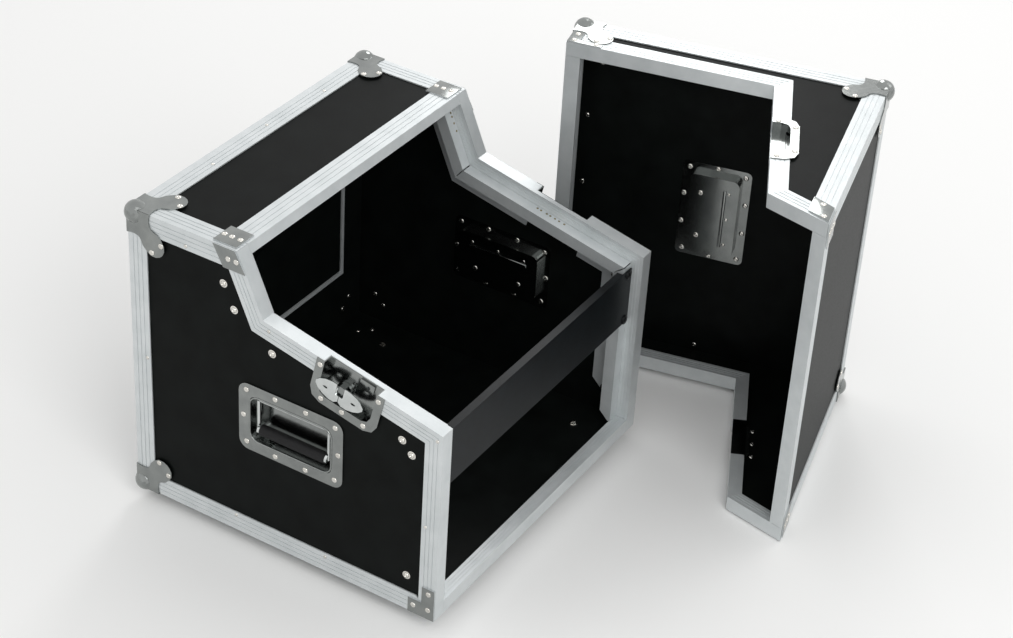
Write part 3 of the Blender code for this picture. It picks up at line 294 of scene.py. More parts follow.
@dataclass(frozen=True)
class AnodisedAluminium(Finish):
    """Extruded aluminium, etched and clear anodised: pale, even, softly glossy.

    The thick clear layer scatters light, so it is part metal and part pale coat.
    """

    name: str = "anodised_aluminium"
    dark: str = "#c8cdce"
    pale: str = "#d4d8d9"
    roughness: Pair = (0.36, 0.46)
    metallic: float = 0.5
    cloud_mm: float = 30.0
    grain_mm: float = 1.6
    rise_mm: float = 0.008


@dataclass(frozen=True)
class ZincPlatedSteel(Finish):
    """Pressed sheet steel with bright zinc: smooth, and greyer than the edging."""

    name: str = "zinc_plated_steel"
    dark: str = "#858887"
    pale: str = "#949795"
    roughness: Pair = (0.13, 0.20)
    metallic: float = 1.0
    cloud_mm: float = 24.0
    grain_mm: float = 5.0
    rise_mm: float = 0.012


@dataclass(frozen=True)
class ChromePlate(Finish):
    """Chrome over polished steel: near mirror, a little cool."""

    name: str = "chrome_plate"
    dark: str = "#c3c7c6"
    pale: str = "#d6d9d8"
    roughness: Pair = (0.07, 0.13)
    metallic: float = 1.0
    grain_mm: float = 5.0
    rise_mm: float = 0.006


@dataclass(frozen=True)
class NickelPlate(Finish):
    """Nickel on rivets and screws: warm white, with small handling marks."""

    name: str = "nickel_plate"
    dark: str = "#cfccc5"
    pale: str = "#e6e4de"
    roughness: Pair = (0.16, 0.28)
    metallic: float = 1.0
    rise_mm: float = 0.006


@dataclass(frozen=True)
class TurnedBrass(Finish):
    """Cut threads in the rails' strip: dull yellow flecks in the bright rail."""

    name: str = "turned_brass"
    dark: str = "#6b6148"
    pale: str = "#a39467"
    roughness: Pair = (0.30, 0.45)
    metallic: float = 1.0
    cloud_mm: float = 3.0


@dataclass(frozen=True)
class PanelPaint(Finish):
    """Stoved satin paint on the blank panel: even black with a fine orange peel."""

    name: str = "satin_panel_paint"
    dark: str = "#0c0e0f"
    pale: str = "#13171a"
    roughness: Pair = (0.30, 0.42)
    specular: float = 0.12
    grain_mm: float = 0.9
    rise_mm: float = 0.015


@dataclass(frozen=True)
class MouldedGrip(Finish):
    """Moulded neoprene: dull black with a faint bloom."""

    name: str = "moulded_grip"
    dark: str = "#0b0b0c"
    pale: str = "#161617"
    roughness: Pair = (0.55, 0.70)
    specular: float = 0.3
    grain_mm: float = 1.5
    rise_mm: float = 0.05


@dataclass(frozen=True)
class FootRubber(Finish):
    """Solid rubber: flat dark grey, dusty where it is handled."""

    name: str = "foot_rubber"
    dark: str = "#121212"
    pale: str = "#1d1d1c"
    roughness: Pair = (0.65, 0.80)
    specular: float = 0.3
    grain_mm: float = 1.4
    rise_mm: float = 0.05


@dataclass(frozen=True)
class BlackOxide(Finish):
    """Blackened steel screws and cup washers: dark, with a small oily glint."""

    name: str = "black_oxide_steel"
    dark: str = "#1a1b1c"
    pale: str = "#2a2b2c"
    roughness: Pair = (0.28, 0.40)
    metallic: float = 1.0
    grain_mm: float = 0.8
    rise_mm: float = 0.01


class Finishes:
    """The finished materials, each built once."""

    def __init__(self) -> None:
        """Builds every finish."""
        self.laminate = PhenolicLaminate().build()
        self.aluminium = AnodisedAluminium().build()
        self.steel = ZincPlatedSteel().build()
        self.chrome = ChromePlate().build()
        self.nickel = NickelPlate().build()
        self.brass = TurnedBrass().build()
        self.panel = PanelPaint().build()
        self.grip = MouldedGrip().build()
        self.rubber = FootRubber().build()
        self.black = BlackOxide().build()

    def dress_frame(self) -> None:
        """Gives every CAD node the finish of its material slot."""
        by_slot = {
            "black_laminate": self.laminate,
            "satin_aluminium": self.aluminium,
            "rail_aluminium": self.aluminium,
            "plated_steel": self.steel,
            "polished_chrome": self.chrome,
            "blank_panel_paint": self.panel,
            "foot_rubber": self.rubber,
        }
        slots = {item["node"]: item["material_slot"] for item in frame["record"]["subparts"]}
        for name, node in frame["nodes"].items():
            node.data.materials.clear()
            node.data.materials.append(by_slot[slots[name]])
        LOG.info("dressed %d nodes", len(slots))


# ---------------- bench


def upper(centre: Vector, normal: Vector) -> bool:
    """Whether a face looks up."""
    return normal.z > 0.9


def lower(centre: Vector, normal: Vector) -> bool:
    """Whether a face looks down."""
    return normal.z < -0.9


class Bench:
    """The operations that every piece is modelled with, in millimetres."""

    @staticmethod
    def clear() -> None:
        """Deselects everything."""
        for obj in bpy.context.view_layer.objects:
            obj.select_set(False)

    @staticmethod
    def drum(name: str, radius: float, height: float, sides: int) -> bpy.types.Object:
        """A drum standing on the origin along z.

        Args:
            name: Name of the drum.
            radius: Its radius.
            height: Its height.
            sides: Number of its sides.

        Returns:
            The drum.
        """
        Bench.clear()
        bpy.ops.mesh.primitive_cylinder_add(
            vertices=sides, radius=radius, depth=height, location=(0, 0, height / 2)
        )
        return Bench.settle(bpy.context.object, name)

    @staticmethod
    def block(name: str, low: Point, high: Point) -> bpy.types.Object:
        """A block between two corners.

        Args:
            name: Name of the block.
            low: Its lowest corner.
            high: Its highest corner.

        Returns:
            The block.
        """
        Bench.clear()
        bpy.ops.mesh.primitive_cube_add(
            size=1,
            location=[(a + b) / 2 for a, b in zip(low, high)],
            scale=[b - a for a, b in zip(low, high)],
        )
        return Bench.settle(bpy.context.object, name)

    @staticmethod
    def settle(obj: bpy.types.Object, name: str) -> bpy.types.Object:
        """Names an object and moves its place into its mesh.

        Args:
            obj: The object, placed by its own matrix.
            name: Its new name.

        Returns:
            The same object, unturned at the origin.
        """
        obj.name = name
        bpy.context.view_layer.update()
        obj.data.transform(obj.matrix_world)
        obj.matrix_world = Matrix.Identity(4)
        return obj

    @staticmethod
    def pick(obj: bpy.types.Object, test: Test) -> None:
        """Enters edit mode with the faces selected that pass a test.

        Args:
            obj: The object to edit.
            test: Takes a face's centre and normal.
        """
        Bench.clear()
        obj.select_set(True)
        bpy.context.view_layer.objects.active = obj
        bpy.ops.object.mode_set(mode="EDIT")
        bpy.ops.mesh.select_mode(type="FACE")
        bpy.ops.mesh.select_all(action="DESELECT")
        bpy.ops.object.mode_set(mode="OBJECT")
        for face in obj.data.polygons:
            face.select = test(face.center, face.normal)
        bpy.ops.object.mode_set(mode="EDIT")

    @staticmethod
    def step(thickness: float, rise: float) -> None:
        """Insets the selected faces, then lifts them along z."""
        bpy.ops.mesh.inset(thickness=thickness)
        bpy.ops.transform.translate(value=(0, 0, rise))

    @staticmethod
    def stretch(obj: bpy.types.Object, test: Test, reach: Point) -> None:
        """Extrudes the faces that pass a test.

        Args:
            obj: The object to edit.
            test: Takes a face's centre and normal.
            reach: How far and which way they go.
        """
        Bench.pick(obj, test)
        bpy.ops.mesh.extrude_region_move(TRANSFORM_OT_translate={"value": reach})
        bpy.ops.object.mode_set(mode="OBJECT")

    @staticmethod
    def done(obj: bpy.types.Object, degrees: float = 35.0) -> bpy.types.Object:
        """Leaves edit mode and smooths the round faces.

        Args:
            obj: The object that was edited.
            degrees: Edges sharper than this stay sharp.

        Returns:
            The same object.
        """
        if bpy.context.mode != "OBJECT":
            bpy.ops.object.mode_set(mode="OBJECT")
        Bench.clear()
        obj.select_set(True)
        bpy.context.view_layer.objects.active = obj
        bpy.ops.object.shade_smooth_by_angle(angle=math.radians(degrees))
        return obj

    @staticmethod
    def copy(model: bpy.types.Object, place: Matrix) -> bpy.types.Object:
        """A copy of a model with its own mesh, set in place.

        Args:
            model: The model, drawn at the origin.
            place: The copy's placement, which may mirror it.

        Returns:
            The copy.
        """
        mesh = model.data.copy()
        mesh.transform(place)
        if place.determinant() < 0:
            mesh.flip_normals()
        obj = bpy.data.objects.new(model.name + "_copy", mesh)
        bpy.context.scene.collection.objects.link(obj)
        return obj

    @staticmethod
    def gather(name: str, pieces: list[bpy.types.Object]) -> bpy.types.Object:
        """Joins copies into one named piece.

        Args:
            name: Name of the joined piece.
            pieces: The copies to join.

        Returns:
            The joined piece.
        """
        Bench.clear()
        for piece in pieces:
            piece.select_set(True)
        bpy.context.view_layer.objects.active = pieces[0]
        if len(pieces) > 1:
            bpy.ops.object.join()
        joined = bpy.context.view_layer.objects.active
        joined.name = name
        return joined

    @staticmethod
    def finish(
        piece: bpy.types.Object, material: bpy.types.Material, body: str, slot: str
    ) -> bpy.types.Object:
        """Gives a piece its material and the body it rides on.

        Args:
            piece: The finished piece.
            material: Its finish.
            body: The CAD body it moves with.
            slot: The record's material slot; not used.

        Returns:
            The same piece.
        """
        piece.data.materials.clear()
        piece.data.materials.append(material)
        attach(piece, body)
        LOG.info("%s: %d faces on %s", piece.name, len(piece.data.polygons), body)
        return piece


# ---------------- fasteners


@dataclass(frozen=True)
class Head:
    """A fastener: a drum whose top is stepped, ring by ring, by an inset and a rise."""

    name: str
    radius: float
    height: float
    sides: int
    rings: tuple[Pair, ...]
    smooth: float = 35.0

    def build(self) -> bpy.types.Object:
        """The fastener at the origin, facing along z.

        Returns:
            The model.
        """
        obj = Bench.drum(self.name, self.radius, self.height, self.sides)
        Bench.pick(obj, upper)
        for inset, rise in self.rings:
            Bench.step(inset, rise)
        return Bench.done(obj, self.smooth)


def rivet_head(name: str, radius: float, height: float) -> Head:
    """A domed rivet head with the small dimple of its mandrel.

    Args:
        name: Name of the model.
        radius: Radius of the head.
        height: Height of the head.

    Returns:
        The head, its rings worked out as shares of its size.
    """
    flange = 0.35 * height
    shares = ((0.18, 0.34), (0.26, 0.22), (0.22, 0.09), (0.08, -0.20))
    rings = tuple((inset * radius, rise * height) for inset, rise in shares)
    return Head(name, radius, flange, sides=14, rings=rings, smooth=60.0)


@dataclass
class Fasteners:
    """Rivets, screws, nuts and threads, each modelled once and copied into place."""

    finishes: Finishes
    rivet: Head = rivet_head("rivet_model", radius=4.1, height=1.4)
    small: Head = rivet_head("small_rivet_model", radius=2.6, height=1.0)
    # A domed head with a recess, on a flat washer.
    screw: Head = Head(
        "screw_model",
        radius=6.0,
        height=0.8,
        sides=20,
        rings=((0.35, 0.15), (1.75, 0.0), (0.10, 0.9), (0.90, 0.75), (0.90, 0.30), (0.5, -0.9)),
        smooth=50.0,
    )
    # A cup washer, dished round the screw.
    cup: Head = Head(
        "cup_washer_model",
        radius=7.5,
        height=0.5,
        sides=24,
        rings=((0.6, 1.1), (1.2, 0.5), (1.0, -0.3), (0.3, -1.0)),
        smooth=40.0,
    )
    # A raised countersunk screw for the panel.
    panel_screw: Head = Head(
        "panel_screw_model",
        radius=4.1,
        height=1.4,
        sides=18,
        rings=((0.5, 0.5), (1.2, 0.45), (1.1, 0.1), (0.2, -0.8)),
        smooth=45.0,
    )
    # The mouth of a tapped hole in a rail's strip, its bore sunk in a thin lip.
    thread: Head = Head(
        "thread_model",
        radius=1.7,
        height=0.18,
        sides=10,
        rings=((0.35, 0.06), (0.45, -0.16)),
        smooth=40.0,
    )
    # A washer, then a hexagon with the end of its screw.
    nut_washer: Head = Head("nut_washer", radius=6.0, height=0.9, sides=24, rings=((0.3, 0.1),))
    nut_body: Head = Head(
        "nut_body", radius=4.4, height=3.6, sides=6, rings=((0.45, 0.3), (1.5, 0.0), (0.05, 1.4))
    )
    models: dict[str, bpy.types.Object] = field(default_factory=dict)

    def model_all(self) -> None:
        """Models every kind of fastener at the origin."""
        heads = {
            "rivet": self.rivet,
            "small": self.small,
            "screw": self.screw,
            "cup": self.cup,
            "panel_screw": self.panel_screw,
            "thread": self.thread,
        }
        self.models = {kind: head.build() for kind, head in heads.items()}
        parts = [self.nut_washer.build(), self.nut_body.build()]
        self.models["nut"] = Bench.done(Bench.gather("nut_model", parts))

    def set_group(
        self,
        name: str,
        kind: str,
        places: Iterable[Matrix],
        body: str,
        material: bpy.types.Material | None = None,
        slot: str = "plated_steel",
    ) -> None:
        """Copies one kind of fastener to its places and joins them.

        Args:
            name: Name of the joined piece.
            kind: Which model to copy.
            places: One placement for each copy.
            body: The body they ride on.
            material: Their finish, nickel if none is named.
            slot: The record's material slot.
        """
        copies = [Bench.copy(self.models[kind], place) for place in places]
        finish = material or self.finishes.nickel
        Bench.finish(Bench.gather(name, copies), finish, body, slot)

    def clear_models(self) -> None:
        """Removes the models once all copies are made."""
        for obj in self.models.values():
            bpy.data.objects.remove(obj)


def both_sides(
    points: Iterable[Pair], proud: float, frame_matrix: Matrix, inside: bool = False
) -> list[Matrix]:
    """The same (y, z) points on the left and the right of the case.

    Args:
        points: The y and z of each fastener.
        proud: How far the seat stands outside the envelope.
        frame_matrix: Placement of the frame.
        inside: Whether the fasteners face the inside of the case.

    Returns:
        One placement for each fastener on each side.
    """
    faces = (Face.RIGHT, Face.LEFT) if inside else (Face.LEFT, Face.RIGHT)
    places = []
    for i, (y, z) in enumerate(points):
        for face, x in zip(faces, (-proud, PLAN.width + proud)):
            places.append(seat(face.value, (x, y, z), frame_matrix, spin=23.0 * i))
    return places


@dataclass
class CaseRivets:
    """Where the rivets and screws of the case go, in the frame's millimetres."""

    fasteners: Fasteners
    # Two through each plate of a ball corner, from the corner along its two edges.
    lobe: Pair = (39.5, 55.0)
    # On the base's sides, as y and z.
    side_screws: tuple[Pair, ...] = (
        (340.7, 396.1),
        (324.1, 361.8),
        (263.8, 318.1),
        (60.9, 271.0),
        (45.9, 253.5),
        (46.7, 55.8),
    )
    # Along and up from a handle's centre: through its flange, then on its dish's back.
    handle_rivets: tuple[Pair, ...] = (
        (71.0, 43.0),
        (24.5, 46.5),
        (-24.5, 46.5),
        (-71.0, 43.0),
        (76.0, 0.8),
        (-76.0, 0.8),
        (71.0, -41.5),
        (24.3, -46.8),
        (-24.3, -46.8),
        (-71.0, -41.5),
    )
    dish_heads: tuple[Pair, ...] = ((37.0, -19.5), (-37.0, -19.5))
    dish_spots: tuple[Pair, ...] = ((44.0, 23.0), (0.0, 23.0), (-44.0, 23.0))
    # Along the gentle slope from the knee, and square to it, above 0 in the base and below
    # 0 in the lid.
    latch_rivets: tuple[Pair, ...] = (
        (94.7, 9.0),
        (107.5, 59.5),
        (141.0, 60.4),
        (174.9, 60.0),
        (186.6, 9.0),
    )
    keeper_rivets: tuple[Pair, ...] = (
        (94.7, -9.0),
        (110.0, -32.5),
        (172.0, -32.5),
        (186.6, -9.0),
    )
    keeper_ends: tuple[Pair, ...] = ((111.0, -31.5), (141.0, -31.5), (171.0, -31.5))
    # At the crest and the toe, then along the edging, as y and z.
    base_bracket: tuple[Pair, ...] = (
        (330.4, 438.7),
        (317.5, 438.7),
        (9.7, 42.6),
        (32.6, 14.0),
        (9.4, 16.0),
    )
    lid_bracket: tuple[Pair, ...] = (
        (304.0, 445.7),
        (277.0, 438.7),
        (-6.2, 42.6),
        (-26.0, 9.5),
        (-8.0, 9.5),
    )
    edge_rivets: tuple[Pair, ...] = (
        (470.1, 225.7),
        (324.0, 25.0),
        (176.0, 23.6),
        (400.0, 430.0),
        (268.0, 352.0),
        (8.0, 293.0),
        (20.0, 150.0),
    )
    # Caps at the crest: in from the side, and steps away from the crest.
    cap_in: float = 21.0
    cap_steps: Point = (11.0, 24.0, 36.0)
    # Top edging: x, and distance in from the rear.
    top_rivets: tuple[Pair, ...] = ((277.0, 16.0), (150.0, 22.0), (403.0, 22.0))
    # Rear face: x, and distance in from its lower and its upper edge.
    rear_rivets: Point = (120.0, 265.0, 410.0)
    rear_in: float = 22.0
    # The panel's face in front of the rail, and the screws' seats in front of that face.
    panel_face: float = 2.7
    panel_proud: float = 0.4
    panel_x: Pair = (32.5, 497.5)
    panel_z: Pair = (199.5, 275.7)
    # Nuts of the feet's bolts, on the base's floor.
    foot_x: Pair = (63.0, 467.0)
    foot_y: Pair = (66.0, 403.0)
    # Inside the lid: a row along its lower and its upper edge, and one by each side.
    inner_row: Point = (383.0, 268.0, 147.0)
    inner_in: float = 22.0
    inner_end: Pair = (21.0, 222.0)
    # Tapped holes: in from the side, and along each run from its upper end.
    thread_in: float = 27.0
    steep_threads: tuple[float, ...] = (24.0, 30.0, 40.0, 52.0)
    gentle_threads: tuple[float, ...] = (112.0, 118.0, 128.0, 134.0, 142.0, 149.0, 158.0)

    def ball_places(
        self, corner: Point, signs: Point, frame_matrix: Matrix, inside: bool
    ) -> list[Matrix]:
        """Rivets of one ball corner, two through each plate.

        Args:
            corner: The corner of the envelope.
            signs: The way to the middle of the case along each axis.
            frame_matrix: Placement of the frame.
            inside: Whether these are the ends inside the boards.

        Returns:
            One placement for each rivet.
        """
        places = []
        for axis in range(3):
            way = [0.0, 0.0, 0.0]
            way[axis] = signs[axis] if inside else -signs[axis]
            depth = PLAN.board_back if inside else -PLAN.plate_face
            first, second = (i for i in range(3) if i != axis)
            for a, b in (self.lobe, self.lobe[::-1]):
                point = list(corner)
                point[first] += signs[first] * a
                point[second] += signs[second] * b
                point[axis] += signs[axis] * depth
                places.append(seat(tuple(way), tuple(point), frame_matrix, 15.0 * axis))
        return places

    def handle_places(
        self, spots: tuple[Pair, ...], depth: float, inside: bool
    ) -> tuple[list[Matrix], list[Matrix]]:
        """Seats at the same spots of all three handles.

        Args:
            spots: Distances along and up from a handle's centre.
            depth: How far inside the envelope the seats lie.
            inside: Whether the fasteners face the inside of the case.

        Returns:
            The placements on the base's two handles, and those on the lid's.
        """
        centre_y, centre_z = PLAN.handle_centre
        points = [(centre_y + a, centre_z + b) for a, b in spots]
        face = Face.REAR if inside else Face.FRONT
        y = depth - PLAN.lid_depth
        middle, high = PLAN.width / 2, PLAN.height / 2
        lid = [seat(face.value, (middle + a, y, high + b), LID) for a, b in spots]
        return both_sides(points, -depth, BASE, inside), lid

    def add_balls(self) -> None:
        """Rivets of all eight ball corners, and their ends inside."""
        rear, front = (PLAN.depth, -1.0), (-PLAN.lid_depth, 1.0)
        for owner, (y, sy), matrix in (("base", rear, BASE), ("lid", front, LID)):
            for name, inside in (("rivets", False), ("rivet_ends", True)):
                places = []
                for x, sx in ((0.0, 1.0), (PLAN.width, -1.0)):
                    for z, sz in ((0.0, 1.0), (PLAN.height, -1.0)):
                        places += self.ball_places((x, y, z), (sx, sy, sz), matrix, inside)
                self.fasteners.set_group(f"{owner}_ball_{name}", "rivet", places, owner)

    def add_brackets(self) -> None:
        """Rivets of the crest brackets, caps and toe plates."""
        face = PLAN.plate_face + PLAN.plate_skin
        for owner, points, sign, matrix in (
            ("base", self.base_bracket, 1.0, BASE),
            ("lid", self.lid_bracket, -1.0, LID),
        ):
            places = both_sides(points, face, matrix)
            for x in (self.cap_in, PLAN.width - self.cap_in):
                for step in self.cap_steps:
                    point = (x, PLAN.crest_y + sign * step, PLAN.height + face)
                    places.append(seat(Face.TOP.value, point, matrix, spin=40.0))
            self.fasteners.set_group(f"{owner}_bracket_rivets", "rivet", places, owner)

    def add_sides(self) -> None:
        """Washered screws on the base's sides and their nuts on the rails."""
        places = both_sides(self.side_screws, -PLAN.board_face, BASE)
        self.fasteners.set_group("base_side_screws", "screw", places, "base")
        places = both_sides(self.side_screws, -PLAN.rail_web, BASE, inside=True)
        self.fasteners.set_group("rail_nuts", "nut", places, "base")

    def add_edging(self) -> None:
        """Small rivets along the edge angles and at the mitres."""
        places = both_sides(self.edge_rivets, 0.0, BASE)
        for x, back in self.top_rivets:
            point = (x, PLAN.depth - back, PLAN.height)
            places.append(seat(Face.TOP.value, point, BASE))
        for x in self.rear_rivets:
            for z in (self.rear_in, PLAN.height - self.rear_in):
                places.append(seat(Face.REAR.value, (x, PLAN.depth, z), BASE))
        self.fasteners.set_group("base_edge_rivets", "small", places, "base")

    def add_panel(self) -> None:
        """Screws of the blank panel in their black cup washers."""
        front = PLAN.rail_front - self.panel_face
        black = self.fasteners.finishes.black
        for name, kind, proud, spin in (
            ("panel_cup_washers", "cup", 0.0, 0.0),
            ("panel_screws", "panel_screw", self.panel_proud, 30.0),
        ):
            points = [(x, front - proud, z) for x in self.panel_x for z in self.panel_z]
            places = [seat(Face.FRONT.value, point, BASE, spin) for point in points]
            self.fasteners.set_group(name, kind, places, "base", black)

    def add_handles(self) -> None:
        """Rivets of each handle flange and their ends on the backing ring."""
        base, lid = self.handle_places(self.handle_rivets, PLAN.handle_face, False)
        base_ends, lid_ends = self.handle_places(self.handle_rivets, PLAN.handle_back, True)
        self.fasteners.set_group("handle_rivets", "rivet", base + base_ends, "base")
        self.fasteners.set_group("lid_handle_rivets", "rivet", lid + lid_ends, "lid")

    def add_dish_backs(self) -> None:
        """Pivot ends and small pressed studs on the back of each handle dish."""
        for kind, spots in (("rivet", self.dish_heads), ("small", self.dish_spots)):
            base, lid = self.handle_places(spots, PLAN.dish_back, True)
            self.fasteners.set_group(f"dish_back_{kind}s", kind, base, "base")
            self.fasteners.set_group(f"lid_dish_back_{kind}s", kind, lid, "lid")

    def add_latches(self) -> None:
        """Rivets of the latch dishes and keepers."""
        face, back = PLAN.latch_face, -PLAN.board_back
        for name, spots, proud, matrix, body in (
            ("latch_rivets", self.latch_rivets, face, BASE, "base"),
            ("keeper_rivets", self.keeper_rivets, face, LID, "lid"),
            ("keeper_rivet_ends", self.keeper_ends, back, LID, "lid"),
        ):
            points = [PLAN.slope(*spot) for spot in spots]
            places = both_sides(points, proud, matrix, inside=proud == back)
            self.fasteners.set_group(name, "rivet", places, body)

    def add_inside(self) -> None:
        """Foot bolts on the floor of the base, and the trim's screws inside the lid."""
        floor = [(x, y, PLAN.board_back) for x in self.foot_x for y in self.foot_y]
        places = [seat(Face.TOP.value, point, BASE, spin=10.0) for point in floor]
        self.fasteners.set_group("foot_nuts", "nut", places, "base")
        back = PLAN.board_back - PLAN.lid_depth
        side_x, side_z = self.inner_end
        spots = [(x, self.inner_in, 25.0) for x in self.inner_row]
        spots += [(side_x, side_z, 25.0)]
        spots += [(x, PLAN.height - self.inner_in, 70.0) for x in self.inner_row]
        spots += [(PLAN.width - side_x, side_z, 70.0)]
        places = [seat(Face.REAR.value, (x, back, z), LID, spin) for x, z, spin in spots]
        self.fasteners.set_group("lid_inner_rivets", "rivet", places, "lid")

    def add_threads(self) -> None:
        """Tapped holes that show in the rails' strips, beside each opening for a panel."""
        crest = (PLAN.crest_y, PLAN.height)
        foot = (0.0, PLAN.front_height)
        runs = [(crest, PLAN.knee, along) for along in self.steep_threads]
        runs += [(PLAN.knee, foot, along) for along in self.gentle_threads]
        places = []
        for start, end, along in runs:
            (y, z), way = PLAN.run(start, end, along, PLAN.rail_front)
            for x in (self.thread_in, PLAN.width - self.thread_in):
                places.append(seat(way, (x, y, z), BASE, spin=5.0 * along))
        brass = self.fasteners.finishes.brass
        self.fasteners.set_group(
            "rail_threads", "thread", places, "base", brass, "rail_aluminium"
        )

    def add_all(self) -> None:
        """Every fastener of the case."""
        self.add_balls()
        self.add_brackets()
        self.add_sides()
        self.add_edging()
        self.add_panel()
        self.add_handles()
        self.add_dish_backs()
        self.add_latches()
        self.add_inside()
        self.add_threads()


# ---------------- plates


@dataclass(frozen=True)
class Toe:
    """Sizes of an angled plate at the foot of the parting line."""

    long: float  # Reach of the foot along y.
    tall: float  # Height of the foot.
    arm: float  # Width of the upright arm.
    edge: float  # Gap to the parting line.
    top: float = 51.0  # Height of the upright arm.


@dataclass
class SteelPlates:
    """Thin steel plates that tie the edging together at the crest and the toe."""

    finishes: Finishes
    # How far a plate reaches into the edging, and the soft rim round its raised face.
    sunk: float = 0.1
    rim: float = 0.5
    swell: float = 0.12
    crest_length: float = 35.0
    crest_rise: float = 30.5
    crest_rake: float = 16.5
    crest_gap: float = 3.0
    end_gap: float = 0.5
    cap_width: float = 37.0
    cap_length: float = 36.5
    cap_gap: float = 4.5
    cap_in: float = 4.0
    base_toe: Toe = Toe(long=41.0, tall=24.0, arm=20.0, edge=0.5)
    lid_toe: Toe = Toe(long=33.0, tall=18.0, arm=10.5, edge=1.2)

    def outer_face(self, obj: bpy.types.Object) -> bpy.types.Object:
        """Softens the edge of the plate's outer face.

        Args:
            obj: The plate, drawn for the left face.

        Returns:
            The same plate.
        """
        Bench.pick(obj, lambda centre, normal: normal.x < -0.9)
        bpy.ops.mesh.inset(thickness=self.rim)
        bpy.ops.transform.translate(value=(-self.swell, 0, 0))
        return Bench.done(obj, 20)

    def crest(self, sign: float) -> bpy.types.Object:
        """A raked bracket under the crest, drawn for the left face.

        Args:
            sign: 1 for the base, which lies behind the crest, and -1 for the lid.

        Returns:
            The bracket.
        """
        start = PLAN.crest_y + sign * self.crest_gap
        ends = sorted((start, start + sign * self.crest_length))
        face = -PLAN.plate_face
        top = PLAN.height - self.end_gap
        low = (face - PLAN.plate_skin, ends[0], top - self.crest_rise)
        obj = Bench.block("crest_bracket", low, (face + self.sunk, ends[1], top))
        Bench.pick(obj, lower)
        bpy.ops.transform.translate(value=(0, -self.crest_rake, 0))
        bpy.ops.object.mode_set(mode="OBJECT")
        return self.outer_face(obj)

    def toe(self, sign: float, size: Toe) -> bpy.types.Object:
        """An angled plate at the foot of the parting line, drawn for the left face.

        Args:
            sign: 1 for the base, -1 for the lid.
            size: Its sizes.

        Returns:
            The plate.
        """
        face = -PLAN.plate_face
        near, far = sorted((sign * size.edge, sign * size.arm))
        low = (face - PLAN.plate_skin, near, self.end_gap)
        obj = Bench.block("toe_plate", low, (face + self.sunk, far, size.tall))
        reach = (0, sign * (size.long - size.arm), 0)
        Bench.stretch(obj, lambda centre, normal: normal.y * sign > 0.9, reach)
        middle = sign * (size.edge + size.arm) / 2
        Bench.stretch(
            obj,
            lambda centre, normal: normal.z > 0.9 and abs(centre.y - middle) < 1.0,
            (0, 0, size.top - size.tall),
        )
        return self.outer_face(obj)

    def cap(self, sign: float) -> bpy.types.Object:
        """A flat plate over the end of the crest's edging, drawn for the left end.

        Args:
            sign: 1 for the base, -1 for the lid.

        Returns:
            The plate.
        """
        start = PLAN.crest_y + sign * self.cap_gap
        near, far = sorted((start, start + sign * self.cap_length))
        face = PLAN.height + PLAN.plate_face
        low = (self.cap_in, near, face - self.sunk)
        high = (self.cap_in + self.cap_width, far, face + PLAN.plate_skin)
        obj = Bench.block("crest_cap", low, high)
        Bench.pick(obj, upper)
        Bench.step(self.rim, self.swell)
        return Bench.done(obj, 20)

    def add(self) -> None:
        """All plates of the base and the lid, on both sides."""
        for owner, sign, matrix, toe in (
            ("base", 1.0, BASE, self.base_toe),
            ("lid", -1.0, LID, self.lid_toe),
        ):
            models = [self.crest(sign), self.toe(sign, toe), self.cap(sign)]
            copies = []
            for model in models:
                copies += [Bench.copy(model, place) for place in (matrix, matrix @ ACROSS)]
                bpy.data.objects.remove(model)
            piece = Bench.gather(f"{owner}_edge_plates", copies)
            Bench.finish(piece, self.finishes.steel, owner, "plated_steel")


@dataclass
class HatchRing:
    """The aluminium lip that shows round the hatch on the inside of the back board."""

    finishes: Finishes
    left: float = 63.0
    right: float = 467.0
    foot: float = 112.0
    head: float = 362.0
    lip: float = 6.0
    sheet: float = 0.8

    def add(self) -> None:
        """Makes the lip from a plate by taking out its middle."""
        y = PLAN.depth - PLAN.board_back
        low = (self.left - self.lip, y - self.sheet, self.foot - self.lip)
        obj = Bench.block("hatch_inner_lip", low, (self.right + self.lip, y, self.head + self.lip))
        Bench.pick(obj, lambda centre, normal: abs(normal.y) > 0.9)
        bpy.ops.mesh.inset(thickness=self.lip)
        bpy.ops.mesh.bridge_edge_loops()
        Bench.done(obj, 20)
        obj.data.transform(BASE)
        Bench.finish(obj, self.finishes.aluminium, "base", "satin_aluminium")


